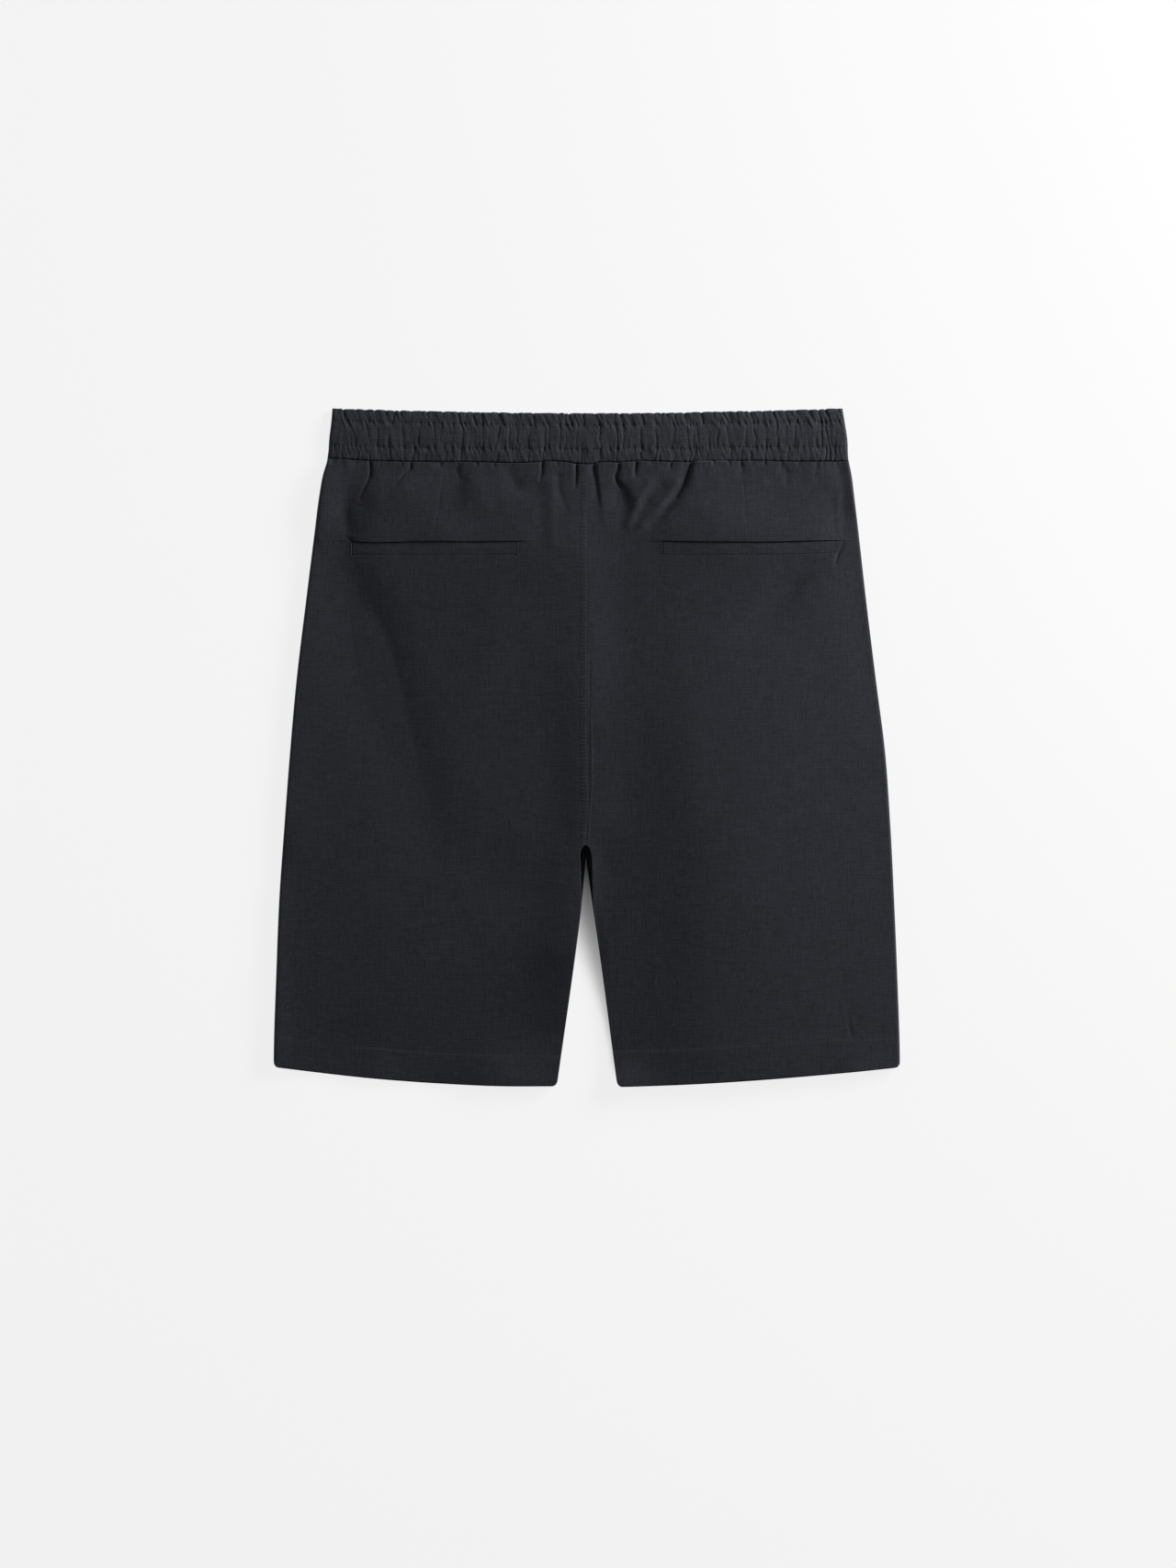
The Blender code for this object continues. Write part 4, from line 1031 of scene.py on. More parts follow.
@dataclass
class WaistbandBack:
    """The back of the waistband: a casing drawn up by its elastic and sewn through along two rows.

    rows are shares of its height. lean_up and lean_down say at which height the fine creases begin to lean
    and by how much a millimetre, and slope_up and slope_down where the face begins to fall and how fast.
    """

    level: float = 4.5
    lowest_inside: float = 3.1
    cloth: float = 0.9
    roll: float = 2.5
    crease_depth: float = 0.62
    open_side: float = 1.0
    steep_side: float = 0.7
    sharpness: float = 1.25
    overlap: tuple[float, float] = (0.16, 0.2)
    mean_strength: float = 0.75
    puff: tuple[float, float, float] = (0.15, 0.45, 0.2)
    rows: tuple[float, float] = (0.27, 0.75)
    row_dip: float = 0.08
    row_dip_reach: float = 0.7
    slope_up: tuple[float, float] = (28.5, 0.07)
    slope_down: tuple[float, float] = (10.3, 0.045)
    lower_edge: tuple[float, float] = (2.4, 1.9)
    upper_edge: tuple[float, float] = (1.2, 1.0)
    nick: float = 0.9
    columns: int = 1221
    spare_column: int = 300
    least_inside: float = 0.3
    lean_up: tuple[float, float] = (24.0, 0.45)
    lean_down: tuple[float, float] = (12.0, 0.3)
    pucker_least: float = 0.25
    pucker_most: float = 1.3
    pucker_reach: float = 3.4
    edge_pucker_reach: float = 6.0
    tick_reach: float = 1.3
    tick_depth: float = 0.4
    wander: Uneven = Uneven(0.7, 6.0, 6.0, 36)
    strength: Uneven = Uneven(0.45, 5.0, 7.0, 37)
    fine: tuple[Uneven, ...] = (Uneven(0.26, 1.7, 7.0, 31), Uneven(0.22, 2.9, 8.0, 32))
    ticks: Uneven = Uneven(1.6, 1.2, 5.0, 38)
    broad: tuple[Uneven, ...] = (Uneven(0.3, 8.0, 14.0, 33), Uneven(0.1, 2.6, 5.0, 34))
    top_edge: Uneven = Uneven(0.25, 3.2, 9.0, 35)
    top_over: float = 0.45
    nick_at: float = 0.97

    def creases(self, x: Array, share: Array, zone: Zone) -> Array:
        """How deep the creases of one strip are, each a sharp valley with one steep and one open side.

        Args:
            x: X of the points.
            share: Their share of the band's height.
            zone: The strip.

        Returns:
            The depth at every point, as a share of the deepest.
        """
        low, high = zone.value
        t = (share - low) / (high - low)
        over, fade = self.overlap
        within = smooth((t + over) / fade) * smooth((1.0 + over - t) / fade)
        wander = self.wander.at(x, share * BAND_DEPTH)
        total = np.zeros(np.broadcast(x, share).shape)
        for low_x, high_x, depth in CREASES[zone]:
            away = x + wander - (low_x + (high_x - low_x) * np.clip(t, 0.0, 1.0))
            reach = np.where(away > 0.0, self.steep_side, self.open_side)
            total = np.maximum(total, depth * np.exp(-((np.abs(away) / reach) ** self.sharpness)))
        return total * within * (self.mean_strength + self.strength.at(x, share * BAND_DEPTH))

    def puckers(self, x: Array, share: Array) -> Array:
        """Fine uneven creases, drawn up beside the stitch rows and the top edge and leaning away from them.

        Args:
            x: X of the points.
            share: Their share of the band's height.

        Returns:
            The height at every point.
        """
        up = share * BAND_DEPTH
        above, below = self.lean_up, self.lean_down
        lean = x + above[1] * np.clip(up - above[0], 0.0, None)
        lean = lean - below[1] * np.clip(below[0] - up, 0.0, None)
        beside, on = (
            sum(bell(up - BAND_DEPTH * row, reach) for row in self.rows)
            for reach in (self.pucker_reach, self.tick_reach)
        )
        reach = self.edge_pucker_reach
        near = self.pucker_least + beside + bell(up - BAND_DEPTH, reach) + 0.5 * bell(up, reach)
        fine = sum(layer.at(lean, up) for layer in self.fine)
        ticks = self.tick_depth * on * smooth(self.ticks.at(x, 0.0 * up))
        return fine * np.minimum(near, self.pucker_most) - ticks

    def height(self, x: Array, share: Array) -> Array:
        """Z of the casing's outer face before its ends roll up.

        Args:
            x: X of the points.
            share: Their share of the band's height.

        Returns:
            Z of every point.
        """
        up = share * BAND_DEPTH
        puff = np.zeros(np.broadcast(x, share).shape)
        for zone, bulge in zip(Zone, self.puff):
            low, high = zone.value
            puff = puff + bulge * np.sin(np.pi * np.clip((share - low) / (high - low), 0.0, 1.0))
        depth = sum(self.creases(x, share, zone) for zone in Zone)
        z = self.level + puff - self.crease_depth * depth + self.puckers(x, share)
        for layer in self.broad:
            z = z + layer.at(x, up)
        for row in self.rows:
            z = z - self.row_dip * bell((share - row) * BAND_DEPTH, self.row_dip_reach)
        above, below = self.slope_up, self.slope_down
        z = z - above[1] * np.maximum(up - above[0], 0.0) - below[1] * np.maximum(below[0] - up, 0.0)
        return rolled(rolled(z, up, self.lower_edge), BAND_DEPTH - up, self.upper_edge)

    def outline(self, x: Array, share: Array) -> Array:
        """Y of the points: from the waist seam to the top edge, which is nicked where creases run out.

        Args:
            x: X of the points.
            share: Their share of the band's height.

        Returns:
            Y of every point.
        """
        base = CUT.waist_seam(x) - LIE.seam_drop
        nick = self.nick * self.creases(x, 0.0 * x + self.nick_at, Zone.RUFFLE)
        nick = nick + self.top_edge.at(x, 0.0 * x)
        return base + (CUT.band_top(x) + self.top_over - nick - base) * share

    def build(self) -> bpy.types.Object:
        """The casing as a closed shell of cloth.

        Returns:
            The band's object.
        """
        share = graded(
            (0.0, 0.02, 0.006), (0.02, 0.05, 0.01), (0.05, 0.24, 0.024), (0.24, 0.30, 0.014),
            (0.30, 0.72, 0.026), (0.72, 0.78, 0.014), (0.78, 0.96, 0.022), (0.96, 1.0, 0.008),
        )
        share = odd(share)[:, None]
        ends = graded((0.0, 0.35, 0.1), (0.35, 4.2, 0.55))
        left, right = CUT.band_folds(share)
        a, b = left + ends[-1], right - ends[-1]
        middle = a + (b - a) * np.linspace(0.0, 1.0, self.columns)[1:-1]
        x = np.concatenate([left + ends, middle, right - ends[::-1]], axis=1)
        if x.shape[1] % 2 == 0:  # set_in() needs an odd number of columns
            x = np.delete(x, self.spare_column, axis=1)
        z = self.height(x, share)
        z = LIE.side_seam_z + (z - LIE.side_seam_z) * round_over(np.minimum(x - left, right - x), self.roll)
        points = np.stack([x, self.outline(x, share), z], axis=-1)
        inner = set_in(points, np.full(z.shape, self.cloth), 1.0)
        floor = np.minimum(self.lowest_inside, points[::2, ::2, 2] - self.least_inside)
        inner[..., 2] = np.maximum(inner[..., 2], floor)
        return new_shell("waistband_back_cloth", points, inner, False)


@dataclass
class WaistbandFront:
    """The front of the waistband, lying on the table, thick with its elastic."""

    thickness: float = 2.9
    cloth: float = 0.8
    side_roll: float = 3.2
    seam_below: float = 0.05
    ridge: float = 0.35
    ridge_reach: float = 1.4
    inner_roll: float = 3.0
    seam_over: float = 0.1
    top_under: float = 0.6
    roll_columns: int = 8
    flat_columns: int = 202

    def build(self) -> bpy.types.Object:
        """The band as a closed shell: the face on the table, and the face inside the garment.

        Returns:
            The band's object.
        """
        share = graded((0.0, 0.04, 0.01), (0.04, 0.96, 0.06), (0.96, 1.0, 0.01))[:, None]
        left, right = CUT.band_folds(share)
        roll = np.radians(np.linspace(0.0, 90.0, self.roll_columns))
        seam_z = LIE.side_seam_z - self.seam_below
        run = np.linspace(0.0, 1.0, self.flat_columns)[1:-1]
        a, b = left + self.side_roll, right - self.side_roll
        turn = self.side_roll * np.sin(roll)
        outer_x = np.concatenate([a - turn[::-1], a + (b - a) * run, b + turn], axis=1)
        rise = seam_z * (1.0 - np.cos(roll))
        outer_z = np.concatenate([rise[::-1], 0.0 * run, rise]) + 0.0 * outer_x
        from_edge = np.minimum(share, 1.0 - share) * BAND_DEPTH
        seam_ridge = self.ridge * (1.0 - round_over(from_edge, self.ridge_reach))
        outer_z = np.maximum(outer_z, seam_ridge)
        first, last = left + self.cloth, right - self.cloth
        inner_x = first + (last - first) * np.linspace(0.0, 1.0, outer_x.shape[1])
        edge = np.minimum(inner_x - first, last - inner_x)
        inner_z = seam_z + (self.thickness - seam_z) * round_over(edge, self.inner_roll) - seam_ridge
        grids = []
        for x, z in ((outer_x, outer_z), (inner_x, inner_z)):
            base = CUT.waist_seam_front(x) - self.seam_over
            top = CUT.band_top(x) - self.top_under
            grids.append(np.stack([x, base + (top - base) * share, z], axis=-1))
        return new_shell("waistband_front_cloth", *grids, True)


# Sewing

# Stretches of X along which each hem's row of stitches shows, and the two ends of each dart.
HEM_ROW_SHOWS = {
    Side.LEFT: ((-178.0, -120.0), (-112.0, -56.0)),
    Side.RIGHT: ((98.0, 138.0), (178.0, 208.0), (211.0, 246.0)),
}
DARTS = {Side.LEFT: ((-111.6, 222.0), (-119.5, 166.0)), Side.RIGHT: ((120.8, 222.0), (124.4, 168.0))}


class Stitch(NamedTuple):
    """How a row is sewn: from stitch to stitch, a stitch's length, its thread, and how far it stands up."""

    pitch: float
    length: float
    thread: float
    lift: float


def stitches(name: str, rows: Sequence[tuple[Array, Array]], stitch: Stitch) -> bpy.types.Object:
    """Many short stitches in one mesh, each a five-sided thread that bows up and dips in at both ends.

    A stitch's points are its start plus a share of the way to its end, raised by the sine of half a turn
    of that share, plus a ring whose radius goes with the square root of that sine. The first and the
    last ring lie a blunt end's share inside.

    Args:
        name: The piece's name.
        rows: For every row, where its stitches start and where they end, as rows of X, Y and Z.
        stitch: The thread and the lift.

    Returns:
        The object.
    """
    starts, ends = (np.concatenate(side) for side in zip(*rows))
    rings, sides, blunt = 5, 5, 0.04
    t = np.linspace(blunt, 1.0 - blunt, rings)
    way = ends - starts
    way_unit = way / np.linalg.norm(way, axis=1, keepdims=True)
    across = np.cross(way_unit, np.array([0.0, 0.0, 1.0]))
    across = across / np.linalg.norm(across, axis=1, keepdims=True)
    up = np.cross(across, way_unit)
    bow = np.sin(np.pi * t)
    radius = stitch.thread / 2.0 * np.sqrt(bow)
    angle = 2.0 * np.pi * np.arange(sides) / sides
    centre = starts[:, None] + way[:, None] * t[:, None] + up[:, None] * (stitch.lift * bow)[:, None]
    ring = across[:, None, None] * np.cos(angle)[:, None] + up[:, None, None] * np.sin(angle)[:, None]
    points = centre[:, :, None] + ring * radius[:, None, None]
    n = np.arange(len(starts) * rings * sides).reshape(-1, rings, sides)
    m = np.roll(n, -1, axis=2)
    quads = np.stack([n[:, :-1], n[:, 1:], m[:, 1:], m[:, :-1]], axis=-1).reshape(-1, 4)
    caps = []
    for corner in (n[:, 0], n[:, -1, ::-1]):
        caps += [corner[:, [0, 1, 2]], corner[:, [0, 2, 3]], corner[:, [0, 3, 4]]]
    return new_mesh(name, points, quads, np.concatenate(caps))


@dataclass
class Sewing:
    """Every row of stitches that shows."""

    seam_stitch: Stitch = Stitch(2.9, 1.5, 0.5, 0.12)
    hem_stitch: Stitch = Stitch(2.2, 1.8, 0.28, 0.04)
    band_stitch: Stitch = Stitch(2.35, 1.6, 0.32, 0.08)
    welt_stitch: Stitch = Stitch(0.62, 0.84, 0.5, 0.1)
    dart_stitch: Stitch = Stitch(3.4, 1.3, 0.3, 0.05)
    first: float = 0.4
    sunk: float = 0.02
    above_cloth: float = 0.04
    hidden_below: float = 0.3
    fade: float = 8.0
    seam_ends: tuple[float, float] = (224.5, -68.0)
    hem_ends: tuple[float, float] = (3.0, 2.6)
    band_ends: float = 3.0
    bar_out: tuple[float, float] = (0.3, 0.1)
    bar_ends: tuple[float, float] = (0.4, 0.9)
    bar_lift: float = 0.05
    bar_slant: float = 0.18
    seam_samples: int = 400
    hem_samples: int = 200
    band_samples: int = 900
    dart_samples: int = 60

    def row(self, line: Array, z_at: Callable[[Array, Array], Array], stitch: Stitch) -> tuple[Array, Array]:
        """Starts and ends of evenly spaced stitches along a line.

        Args:
            line: The line as rows of X and Y.
            z_at: A function that gives Z at X and Y.
            stitch: The pitch and the length of the stitches.

        Returns:
            Starts and ends, as rows of X, Y and Z.
        """
        passed = np.concatenate([[0.0], np.cumsum(np.linalg.norm(np.diff(line, axis=0), axis=1))])
        at = np.arange(self.first, passed[-1] - stitch.length, stitch.pitch)
        pairs = []
        for place in (at, at + stitch.length):
            x, y = (np.interp(place, passed, line[:, k]) for k in (0, 1))
            pairs.append(np.stack([x, y, z_at(x, y) - self.sunk], axis=-1))
        return pairs[0], pairs[1]

    def centre_back(self) -> bpy.types.Object:
        """The two rows beside the centre back seam.

        Returns:
            The rows' object.
        """

        def z_at(x: Array, y: Array) -> Array:
            """Z of the rows, a little above the cloth."""
            return LIE.height(Side.LEFT, x, y) + self.above_cloth

        y = np.linspace(*self.seam_ends, self.seam_samples)
        rows = []
        for offset in LIE.seam_rows:
            line = np.stack([CUT.centre_back(y) - offset, y], axis=-1)
            rows.append(self.row(line, z_at, self.seam_stitch))
        return stitches("stitching_centre_back", rows, self.seam_stitch)

    def hem(self, side: Side) -> bpy.types.Object:
        """The row that holds a hem's turn-up.

        Args:
            side: The leg.

        Returns:
            The row's object.
        """
        inner, fold, _ = CUT.edges(side, np.full(1, CUT.hem_y + LIE.hem_turn_up - LIE.hem_row))
        start = inner[0] + side.value * self.hem_ends[0]
        x = np.linspace(start, fold[0] - side.value * self.hem_ends[1], self.hem_samples)
        line = np.stack([x, CUT.hem_line(side, x) + LIE.hem_depth(side, x) - LIE.hem_row], axis=-1)
        shown, fade = HEM_ROW_SHOWS[side], self.fade

        def z_at(x: Array, y: Array) -> Array:
            """Z of the hem along the row, which sinks into the cloth outside the stretches where it shows."""
            seen = sum(smooth((x - a) / fade) * smooth((b - x) / fade) for a, b in shown)
            return LIE.height(side, x, y) + self.above_cloth - self.hidden_below * (1.0 - seen)

        row = self.row(line, z_at, self.hem_stitch)
        return stitches(f"stitching_hem_{side.word}", [row], self.hem_stitch)

    def band(self, band: WaistbandBack, which: int) -> bpy.types.Object:
        """One of the rows through the waistband, drawn short by the elastic.

        Args:
            band: The waistband.
            which: 0 for the lower row, 1 for the upper one.

        Returns:
            The row's object.
        """
        share = band.rows[which]
        left, right = CUT.band_folds(np.array(share))
        x = np.linspace(float(left) + self.band_ends, float(right) - self.band_ends, self.band_samples)
        wander = Uneven(0.25, 14.0, 9.0, 41 + which).at(x, 0.0 * x)
        line = np.stack([x, band.outline(x, np.full(x.shape, share)) + wander], axis=-1)

        def z_at(x: Array, y: Array) -> Array:
            """Z of the casing along the row."""
            return band.height(x, np.full(x.shape, share)) - self.sunk

        name = f"stitching_band_{('lower', 'upper')[which]}"
        return stitches(name, [self.row(line, z_at, self.band_stitch)], self.band_stitch)

    def welt(self, mouth: PocketMouth) -> bpy.types.Object:
        """The close bar of stitches at each end of a welt.

        Args:
            mouth: The pocket's opening.

        Returns:
            The stitches' object.
        """
        left, right = mouth.span()
        bars, half = [], self.welt_stitch.length / 2.0
        for bar_x in (left - self.bar_out[0], right + self.bar_out[1]):
            low, high = (float(edge(np.array(bar_x))) for edge in (mouth.seam, mouth.slit_top))
            y = np.arange(low + self.bar_ends[0], high - self.bar_ends[1], self.welt_stitch.pitch)
            x = np.full(y.shape, bar_x)
            z = LIE.height(mouth.side, x, y) + mouth.drop(x, y) + self.bar_lift
            ends = ((-half, 0.0), (half, self.bar_slant))
            bars.append(tuple(np.stack([x + run, y + rise, z], axis=-1) for run, rise in ends))
        return stitches(f"stitching_welt_{mouth.side.word}", bars, self.welt_stitch)

    def darts(self) -> bpy.types.Object:
        """The few stitches that show along the darts.

        Returns:
            The stitches' object.
        """
        rows = []
        for side, ends in DARTS.items():
            line = np.linspace(*ends, self.dart_samples)
            rows.append(self.row(line, partial(LIE.height, side), self.dart_stitch))
        return stitches("stitching_darts", rows, self.dart_stitch)


# Finishes


def linear(colour: str) -> tuple[float, float, float, float]:
    """An sRGB hex colour as linear red, green, blue and 1: a part over 12.92, or a power of 2.4 higher up.

    Args:
        colour: The colour, such as #24262b.

    Returns:
        The linear colour.
    """
    parts = [int(colour[i : i + 2], 16) / 255.0 for i in (1, 3, 5)]
    lin = [p / 12.92 if p <= 0.04045 else ((p + 0.055) / 1.055) ** 2.4 for p in parts]
    return (*lin, 1.0)


def add(
    tree: bpy.types.NodeTree, kind: str, links: dict[str | int, object] | None = None, **settings: object
) -> bpy.types.Node:
    """A node with its settings and links.

    Args:
        tree: The material's node tree.
        kind: The node's type.
        links: Socket name or number to the output or node that feeds it, or to a fixed value.
        settings: Properties of the node.

    Returns:
        The node.
    """
    node = tree.nodes.new(kind)
    for key, value in settings.items():
        setattr(node, key, value)
    for key, value in (links or {}).items():
        if isinstance(value, (bpy.types.NodeSocket, bpy.types.Node)):
            tree.links.new(getattr(value, "outputs", [value])[0], node.inputs[key])
        else:
            node.inputs[key].default_value = value
    return node


def bare_material(name: str) -> tuple[bpy.types.Material, bpy.types.NodeTree]:
    """A new material without nodes, and its node tree.

    Args:
        name: Its name.

    Returns:
        The material and the tree.
    """
    material = bpy.data.materials.new(name)
    material.use_nodes = True
    material.node_tree.nodes.clear()
    return material, material.node_tree


@dataclass(frozen=True)
class Linen:
    """Plain-woven linen blend, piece-dyed a dark navy.

    Flax yarns vary in thickness, so thick and thin places run along both sets of threads as fine short
    streaks; the dye takes a little darker in some than in others. The surface is matt with a faint bloom
    of fibre ends at a low angle. Threads are 0.5 mm apart, drawn 0.9 mm apart so that they show at all.
    A wave of the texture spans two threads, one over and one under. tone holds the shares of streaks,
    clouds, weave and grain in the colour, and relief those of weave and streaks in the bump.
    """

    name: str
    dark: str = "#16171b"
    light: str = "#2d2e35"
    bloom: str = "#9aa0ad"
    thread_mm: float = 0.9
    waves_at_scale_1: float = 3.1831
    slub_length_mm: float = 11.0
    slub_width_mm: float = 0.9
    slub_depth_mm: float = 2.0
    cloud_mm: float = 5.0
    grain_mm: float = 1.3
    tone_least: float = 0.1
    tone: tuple[float, ...] = (0.5, 0.15, 0.08, 0.5)
    tone_range: tuple[float, float] = (0.62, 1.2)
    relief: tuple[float, ...] = (0.3, 0.8)
    bump: float = 0.5
    bump_mm: float = 0.25
    sheen: float = 0.25

    def build(self) -> bpy.types.Material:
        """The material: slubs both ways, the weave, clouds and grain, mixed into a tone and a relief.

        Returns:
            A new material of this finish.
        """
        material, tree = bare_material(self.name)
        where = add(tree, "ShaderNodeTexCoord").outputs["Object"]
        long, short = self.slub_length_mm, self.slub_width_mm
        slubs = []
        for sizes in ((long, short, self.slub_depth_mm), (short, long, self.slub_depth_mm)):
            scale = tuple(1.0 / (size * MM) for size in sizes)
            stretched = add(tree, "ShaderNodeMapping", {"Vector": where, "Scale": scale})
            slubs.append(add(tree, "ShaderNodeTexNoise", {"Vector": stretched, "Scale": 1.0, "Detail": 2.0}))
        scale = 1.0 / (self.thread_mm * MM) / self.waves_at_scale_1 * 0.5
        wave = {"Vector": where, "Scale": scale, "Distortion": 1.2, "Detail": 1.0, "Detail Scale": 2.0}
        threads = [add(tree, "ShaderNodeTexWave", wave, bands_direction=axis).outputs["Fac"] for axis in "XY"]
        cloud, grain = (
            add(tree, "ShaderNodeTexNoise", {"Vector": where, "Scale": 1.0 / (size * MM), "Detail": detail})
            for size, detail in ((self.cloud_mm, 3.0), (self.grain_mm, 2.0))
        )
        streak = add(tree, "ShaderNodeMath", {0: slubs[0], 1: slubs[1]}, operation="ADD")
        weave = add(tree, "ShaderNodeMath", {0: threads[0], 1: threads[1]}, operation="MULTIPLY")
        tone, relief = self.tone_least, 0.0
        for share, pattern in zip(self.tone, (streak, cloud, weave, grain)):
            tone = add(tree, "ShaderNodeMath", {0: pattern, 1: share, 2: tone}, operation="MULTIPLY_ADD")
        for share, pattern in zip(self.relief, (weave, streak)):
            relief = add(tree, "ShaderNodeMath", {0: pattern, 1: share, 2: relief}, operation="MULTIPLY_ADD")
        darkest, lightest = self.tone_range
        spread = add(
            tree, "ShaderNodeMapRange", {"Value": tone, "From Min": darkest, "From Max": lightest}
        )
        shades = {0: spread, "A": linear(self.dark), "B": linear(self.light)}
        colour = add(tree, "ShaderNodeMix", shades, data_type="RGBA").outputs["Result"]
        bump = add(
            tree, "ShaderNodeBump", {"Height": relief, "Strength": self.bump, "Distance": self.bump_mm * MM}
        )
        shader = add(
            tree, "ShaderNodeBsdfPrincipled",
            {"Base Color": colour, "Roughness": 0.92, "Specular IOR Level": 0.2, "Sheen Weight": self.sheen,
             "Sheen Roughness": 0.45, "Sheen Tint": linear(self.bloom), "Normal": bump},
        )
        add(tree, "ShaderNodeOutputMaterial", {"Surface": shader})
        return material


@dataclass(frozen=True)
class SewingThread:
    """Polyester sewing thread in the cloth's colour, twisted and smooth, so it shines more than the cloth."""

    name: str = "polyester_sewing_thread_navy"
    dark: str = "#2c2e34"
    light: str = "#43464d"
    twist_mm: float = 0.6

    def build(self) -> bpy.types.Material:
        """The material: the twist's light and dark places over its colour.

        Returns:
            A new material of this finish.
        """
        material, tree = bare_material(self.name)
        where = add(tree, "ShaderNodeTexCoord").outputs["Object"]
        twist = add(tree, "ShaderNodeTexNoise", {"Vector": where, "Scale": 1.0 / (self.twist_mm * MM)})
        shades = {0: twist, "A": linear(self.dark), "B": linear(self.light)}
        colour = add(tree, "ShaderNodeMix", shades, data_type="RGBA").outputs["Result"]
        gloss = {"Base Color": colour, "Roughness": 0.55, "Specular IOR Level": 0.4}
        shader = add(tree, "ShaderNodeBsdfPrincipled", gloss)
        add(tree, "ShaderNodeOutputMaterial", {"Surface": shader})
        return material


@dataclass(frozen=True)
class TableTop:
    """A pale matt table of translucent sheet lit softly from below, so that shadows on it stay faint.

    Between the legs a painted shadow darkens it: an attribute of its mesh holds the share of the open table's
    colour and glow that is kept there.
    """

    glow: float = 0.83
    colour: str = "#5c5c5c"
    # name of the mesh attribute that holds the painted shadow between the legs
    light: str = "light"

    def build(self) -> bpy.types.Material:
        """The material: diffuse grey with a glow, both scaled down by the painted shadow that its mesh's
        attribute holds.

        Returns:
            A new material of this finish.
        """
        material, tree = bare_material("pale_table")
        # painted shadow: the attribute darkens the table's colour and glow between the legs
        light = add(tree, "ShaderNodeAttribute", attribute_name=self.light).outputs["Fac"]
        colour, glow = (
            add(tree, "ShaderNodeMath", {0: light, 1: full}, operation="MULTIPLY")
            for full in (linear(self.colour)[0], self.glow)
        )
        shader = add(
            tree, "ShaderNodeBsdfPrincipled",
            {"Base Color": colour, "Roughness": 1.0, "Specular IOR Level": 0.0,
             "Emission Color": linear("#ffffff"), "Emission Strength": glow},
        )
        add(tree, "ShaderNodeOutputMaterial", {"Surface": shader})
        return material


# Studio


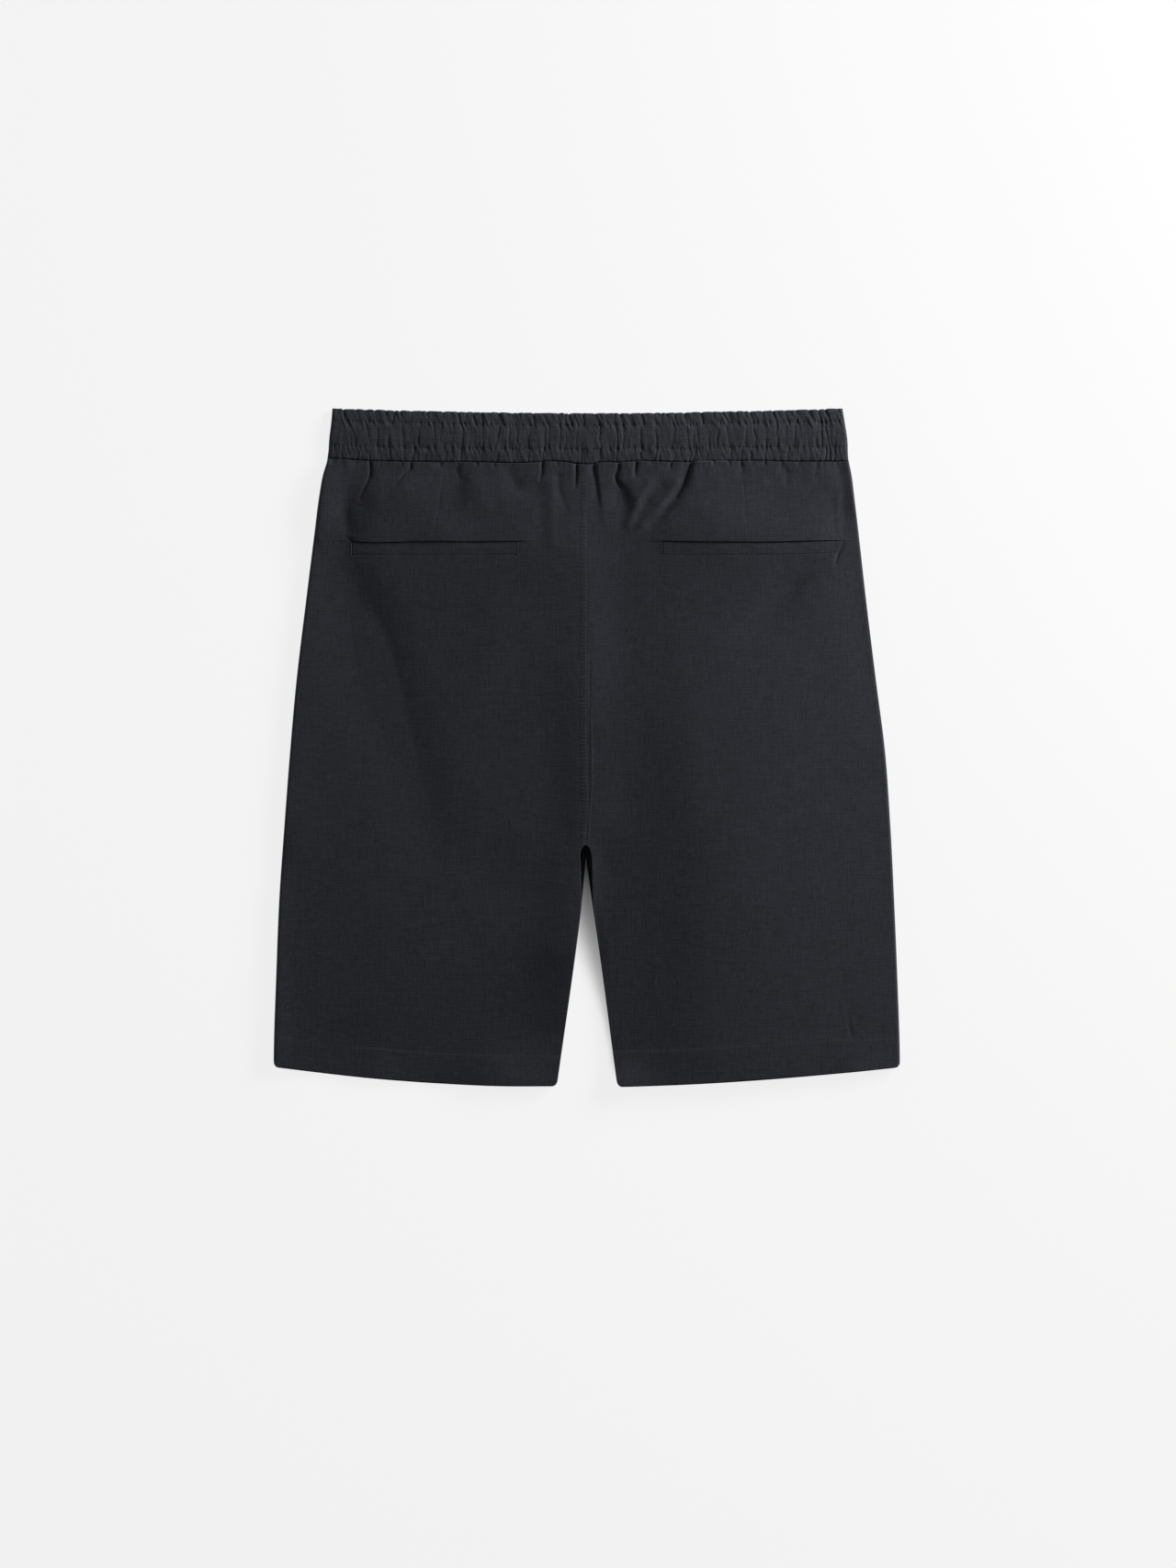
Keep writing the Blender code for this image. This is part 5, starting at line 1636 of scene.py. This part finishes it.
@dataclass
class Studio:
    """The table, the lights and the camera straight above; places and the view's height are in metres."""

    view_height: float = 1.229
    middle: tuple[float, float] = (0.0007, -0.0281)
    lens: float = 90.0
    sensor: float = 36.0
    key_power: float = 81.0
    side_power: float = 8.0
    fill: float = 0.135
    table_reach: float = 6000.0
    table_z: float = -0.2
    # where the painted shadow between the legs lies, how deep and how wide it is
    gap_foot: float = -240.0
    gap_height: float = 147.0
    painted_gap_shade: tuple[float, float] = (0.25, 0.73)
    painted_gap_shade_reach: tuple[float, float] = (2.8, 36.0)
    gap_ends: tuple[float, float, float] = (-262.0, -60.0, 20.0)
    gap_side: tuple[float, float] = (90.0, 30.0)

    def gap_light_under_painted_shadow(self, x: Array, y: Array) -> Array:
        """Painted shadow on the table between the legs: the share of the open table's colour and glow kept at
        each point.

        The painted shade is deepest along the right leg's edge and falls off to its left as a bell, deeper
        and wider the nearer the crotch, where the legs close the gap in.

        Args:
            x: X of the points.
            y: Y of the points.

        Returns:
            The share at every point.
        """
        up = np.clip((y - self.gap_foot) / self.gap_height, 0.0, 1.0)
        from_leg = CUT.centre_back(y) + CUT.gap_back(y) - x
        least, more = self.painted_gap_shade
        narrow, wider = self.painted_gap_shade_reach
        shade = (least + more * up) * bell(from_leg, narrow + wider * up**2)
        bottom, top, fade = self.gap_ends
        in_gap = smooth((y - bottom) / fade) * smooth((top - y) / fade)
        side, fade = self.gap_side
        return 1.0 - shade * in_gap * smooth((side - np.abs(x)) / fade)

    def table(self) -> None:
        """A large pale table just under the garment, its mesh finer in the gap between the legs, where it
        holds a painted shadow.
        """
        far = self.table_reach
        x = graded((-far, -96.0, far), (-96.0, 96.0, 1.5), (96.0, far, far))
        y = graded((-far, -270.0, far), (-270.0, -60.0, 2.5), (-60.0, far, far))[:, None]
        points = np.stack(np.broadcast_arrays(x, y, self.table_z), axis=-1)
        top = new_mesh("table_top", points, grid_quads(points.shape[:2], 0, False))
        finish = TableTop()
        # painted shadow between the legs, set on the table's points for its material to darken by
        light = top.data.attributes.new(finish.light, "FLOAT", "POINT")
        light.data.foreach_set("value", self.gap_light_under_painted_shadow(points[..., 0], points[..., 1]).ravel())
        top.data.materials.append(finish.build())

    def light(
        self, name: str, place: tuple[float, float, float], size: tuple[float, float], power: float
    ) -> None:
        """A soft box that faces the garment.

        Args:
            name: Its name.
            place: Where it stands.
            size: Its width and its height.
            power: Its power in watts.
        """
        lamp = bpy.data.lights.new(name, "AREA")
        lamp.shape, lamp.size, lamp.size_y, lamp.energy = "RECTANGLE", *size, power
        box = bpy.data.objects.new(name, lamp)
        bpy.context.scene.collection.objects.link(box)
        box.location = place
        box.rotation_mode = "QUATERNION"
        box.rotation_quaternion = (-Vector(place).normalized()).to_track_quat("-Z", "Y")

    def lights(self) -> None:
        """A large box low on the upper right, a weak one on the left, and an even fill from all round."""
        self.light("key_box", (1.65, 0.95, 0.6), (1.3, 0.6), self.key_power)
        self.light("side_box", (-1.9, 0.25, 0.42), (1.3, 0.5), self.side_power)
        world = bpy.data.worlds.new("even_fill")
        world.use_nodes = True
        background = world.node_tree.nodes["Background"]
        background.inputs[0].default_value = linear("#fafbfd")
        background.inputs[1].default_value = self.fill
        bpy.context.scene.world = world

    def camera(self) -> None:
        """A long lens straight above the garment."""
        lens = bpy.data.cameras.new("camera")
        lens.sensor_fit, lens.sensor_height, lens.lens = "VERTICAL", self.sensor, self.lens
        lens.clip_end = 50.0
        camera = bpy.data.objects.new("camera", lens)
        camera.location = (*self.middle, self.view_height * self.lens / self.sensor)
        bpy.context.scene.collection.objects.link(camera)
        bpy.context.scene.camera = camera

    def build(self) -> None:
        """Sets the whole studio up, with plain colour handling."""
        self.table()
        self.lights()
        self.camera()
        bpy.context.scene.view_settings.view_transform = "Standard"


class Sheet(NamedTuple):
    """A sheet of cloth: what builds it, the node it stands for, its finish and slot, and how it was cut.

    flat is the width and the length of its cut in metres, area is in square metres, held says how the
    cloth is held and under is what it rests on.
    """

    maker: BackPanel | FrontPanel | Welt | WaistbandBack | WaistbandFront
    node: str
    finish: bpy.types.Material
    slot: str
    flat: tuple[float, float]
    area: float
    held: str
    under: str


def main() -> None:
    """Builds every piece in order, dresses it, hides the part of model.glb that it stands for and reports it.
    """
    logging.basicConfig(level=logging.INFO, format="%(message)s")
    Studio().build()
    linen = Linen("linen_plain_weave_navy").build()
    # the waistband's copy of the same linen is lighter: painted light that brightens the band
    casing = Linen("linen_gathered_casing_navy", light="#33353b").build()
    thread = SewingThread().build()
    band = WaistbandBack()
    sheets = []
    for side in Side:
        nodes = ("back_panel", "front_panel", "back_pocket_welt")
        back, front, welt = (f"{node}_{side.word}" for node in nodes)
        sheets += [
            Sheet(BackPanel(side), back, linen, "linen", (0.262, 0.530), 0.112, "laid", front),
            Sheet(FrontPanel(side), front, linen, "linen", (0.247, 0.520), 0.106, "laid", "table_top"),
            Sheet(Welt(MOUTHS[side]), welt, linen, "linen", (0.150, 0.0125), 0.0017, "folded", back),
        ]
    back, front = "waistband_back", "waistband_front"
    for maker, node, under in ((band, back, front), (WaistbandFront(), front, "table_top")):
        flat, area = (0.520, 0.042), 0.0215
        sheets.append(Sheet(maker, node, casing, "linen_waistband", flat, area, "gathered", under))
    for sheet in sheets:
        piece = sheet.maker.build()
        piece.data.materials.append(sheet.finish)
        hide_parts(sheet.node)
        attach(piece, "root")
        report(piece)

    sewing = Sewing()
    rows = [sewing.centre_back(), sewing.darts(), sewing.band(band, 0), sewing.band(band, 1)]
    rows += [sewing.hem(side) for side in Side] + [sewing.welt(MOUTHS[side]) for side in Side]
    for piece in rows:
        piece.data.materials.append(thread)
        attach(piece, "root")
        report(piece)


if __name__ == "__main__":
    main()
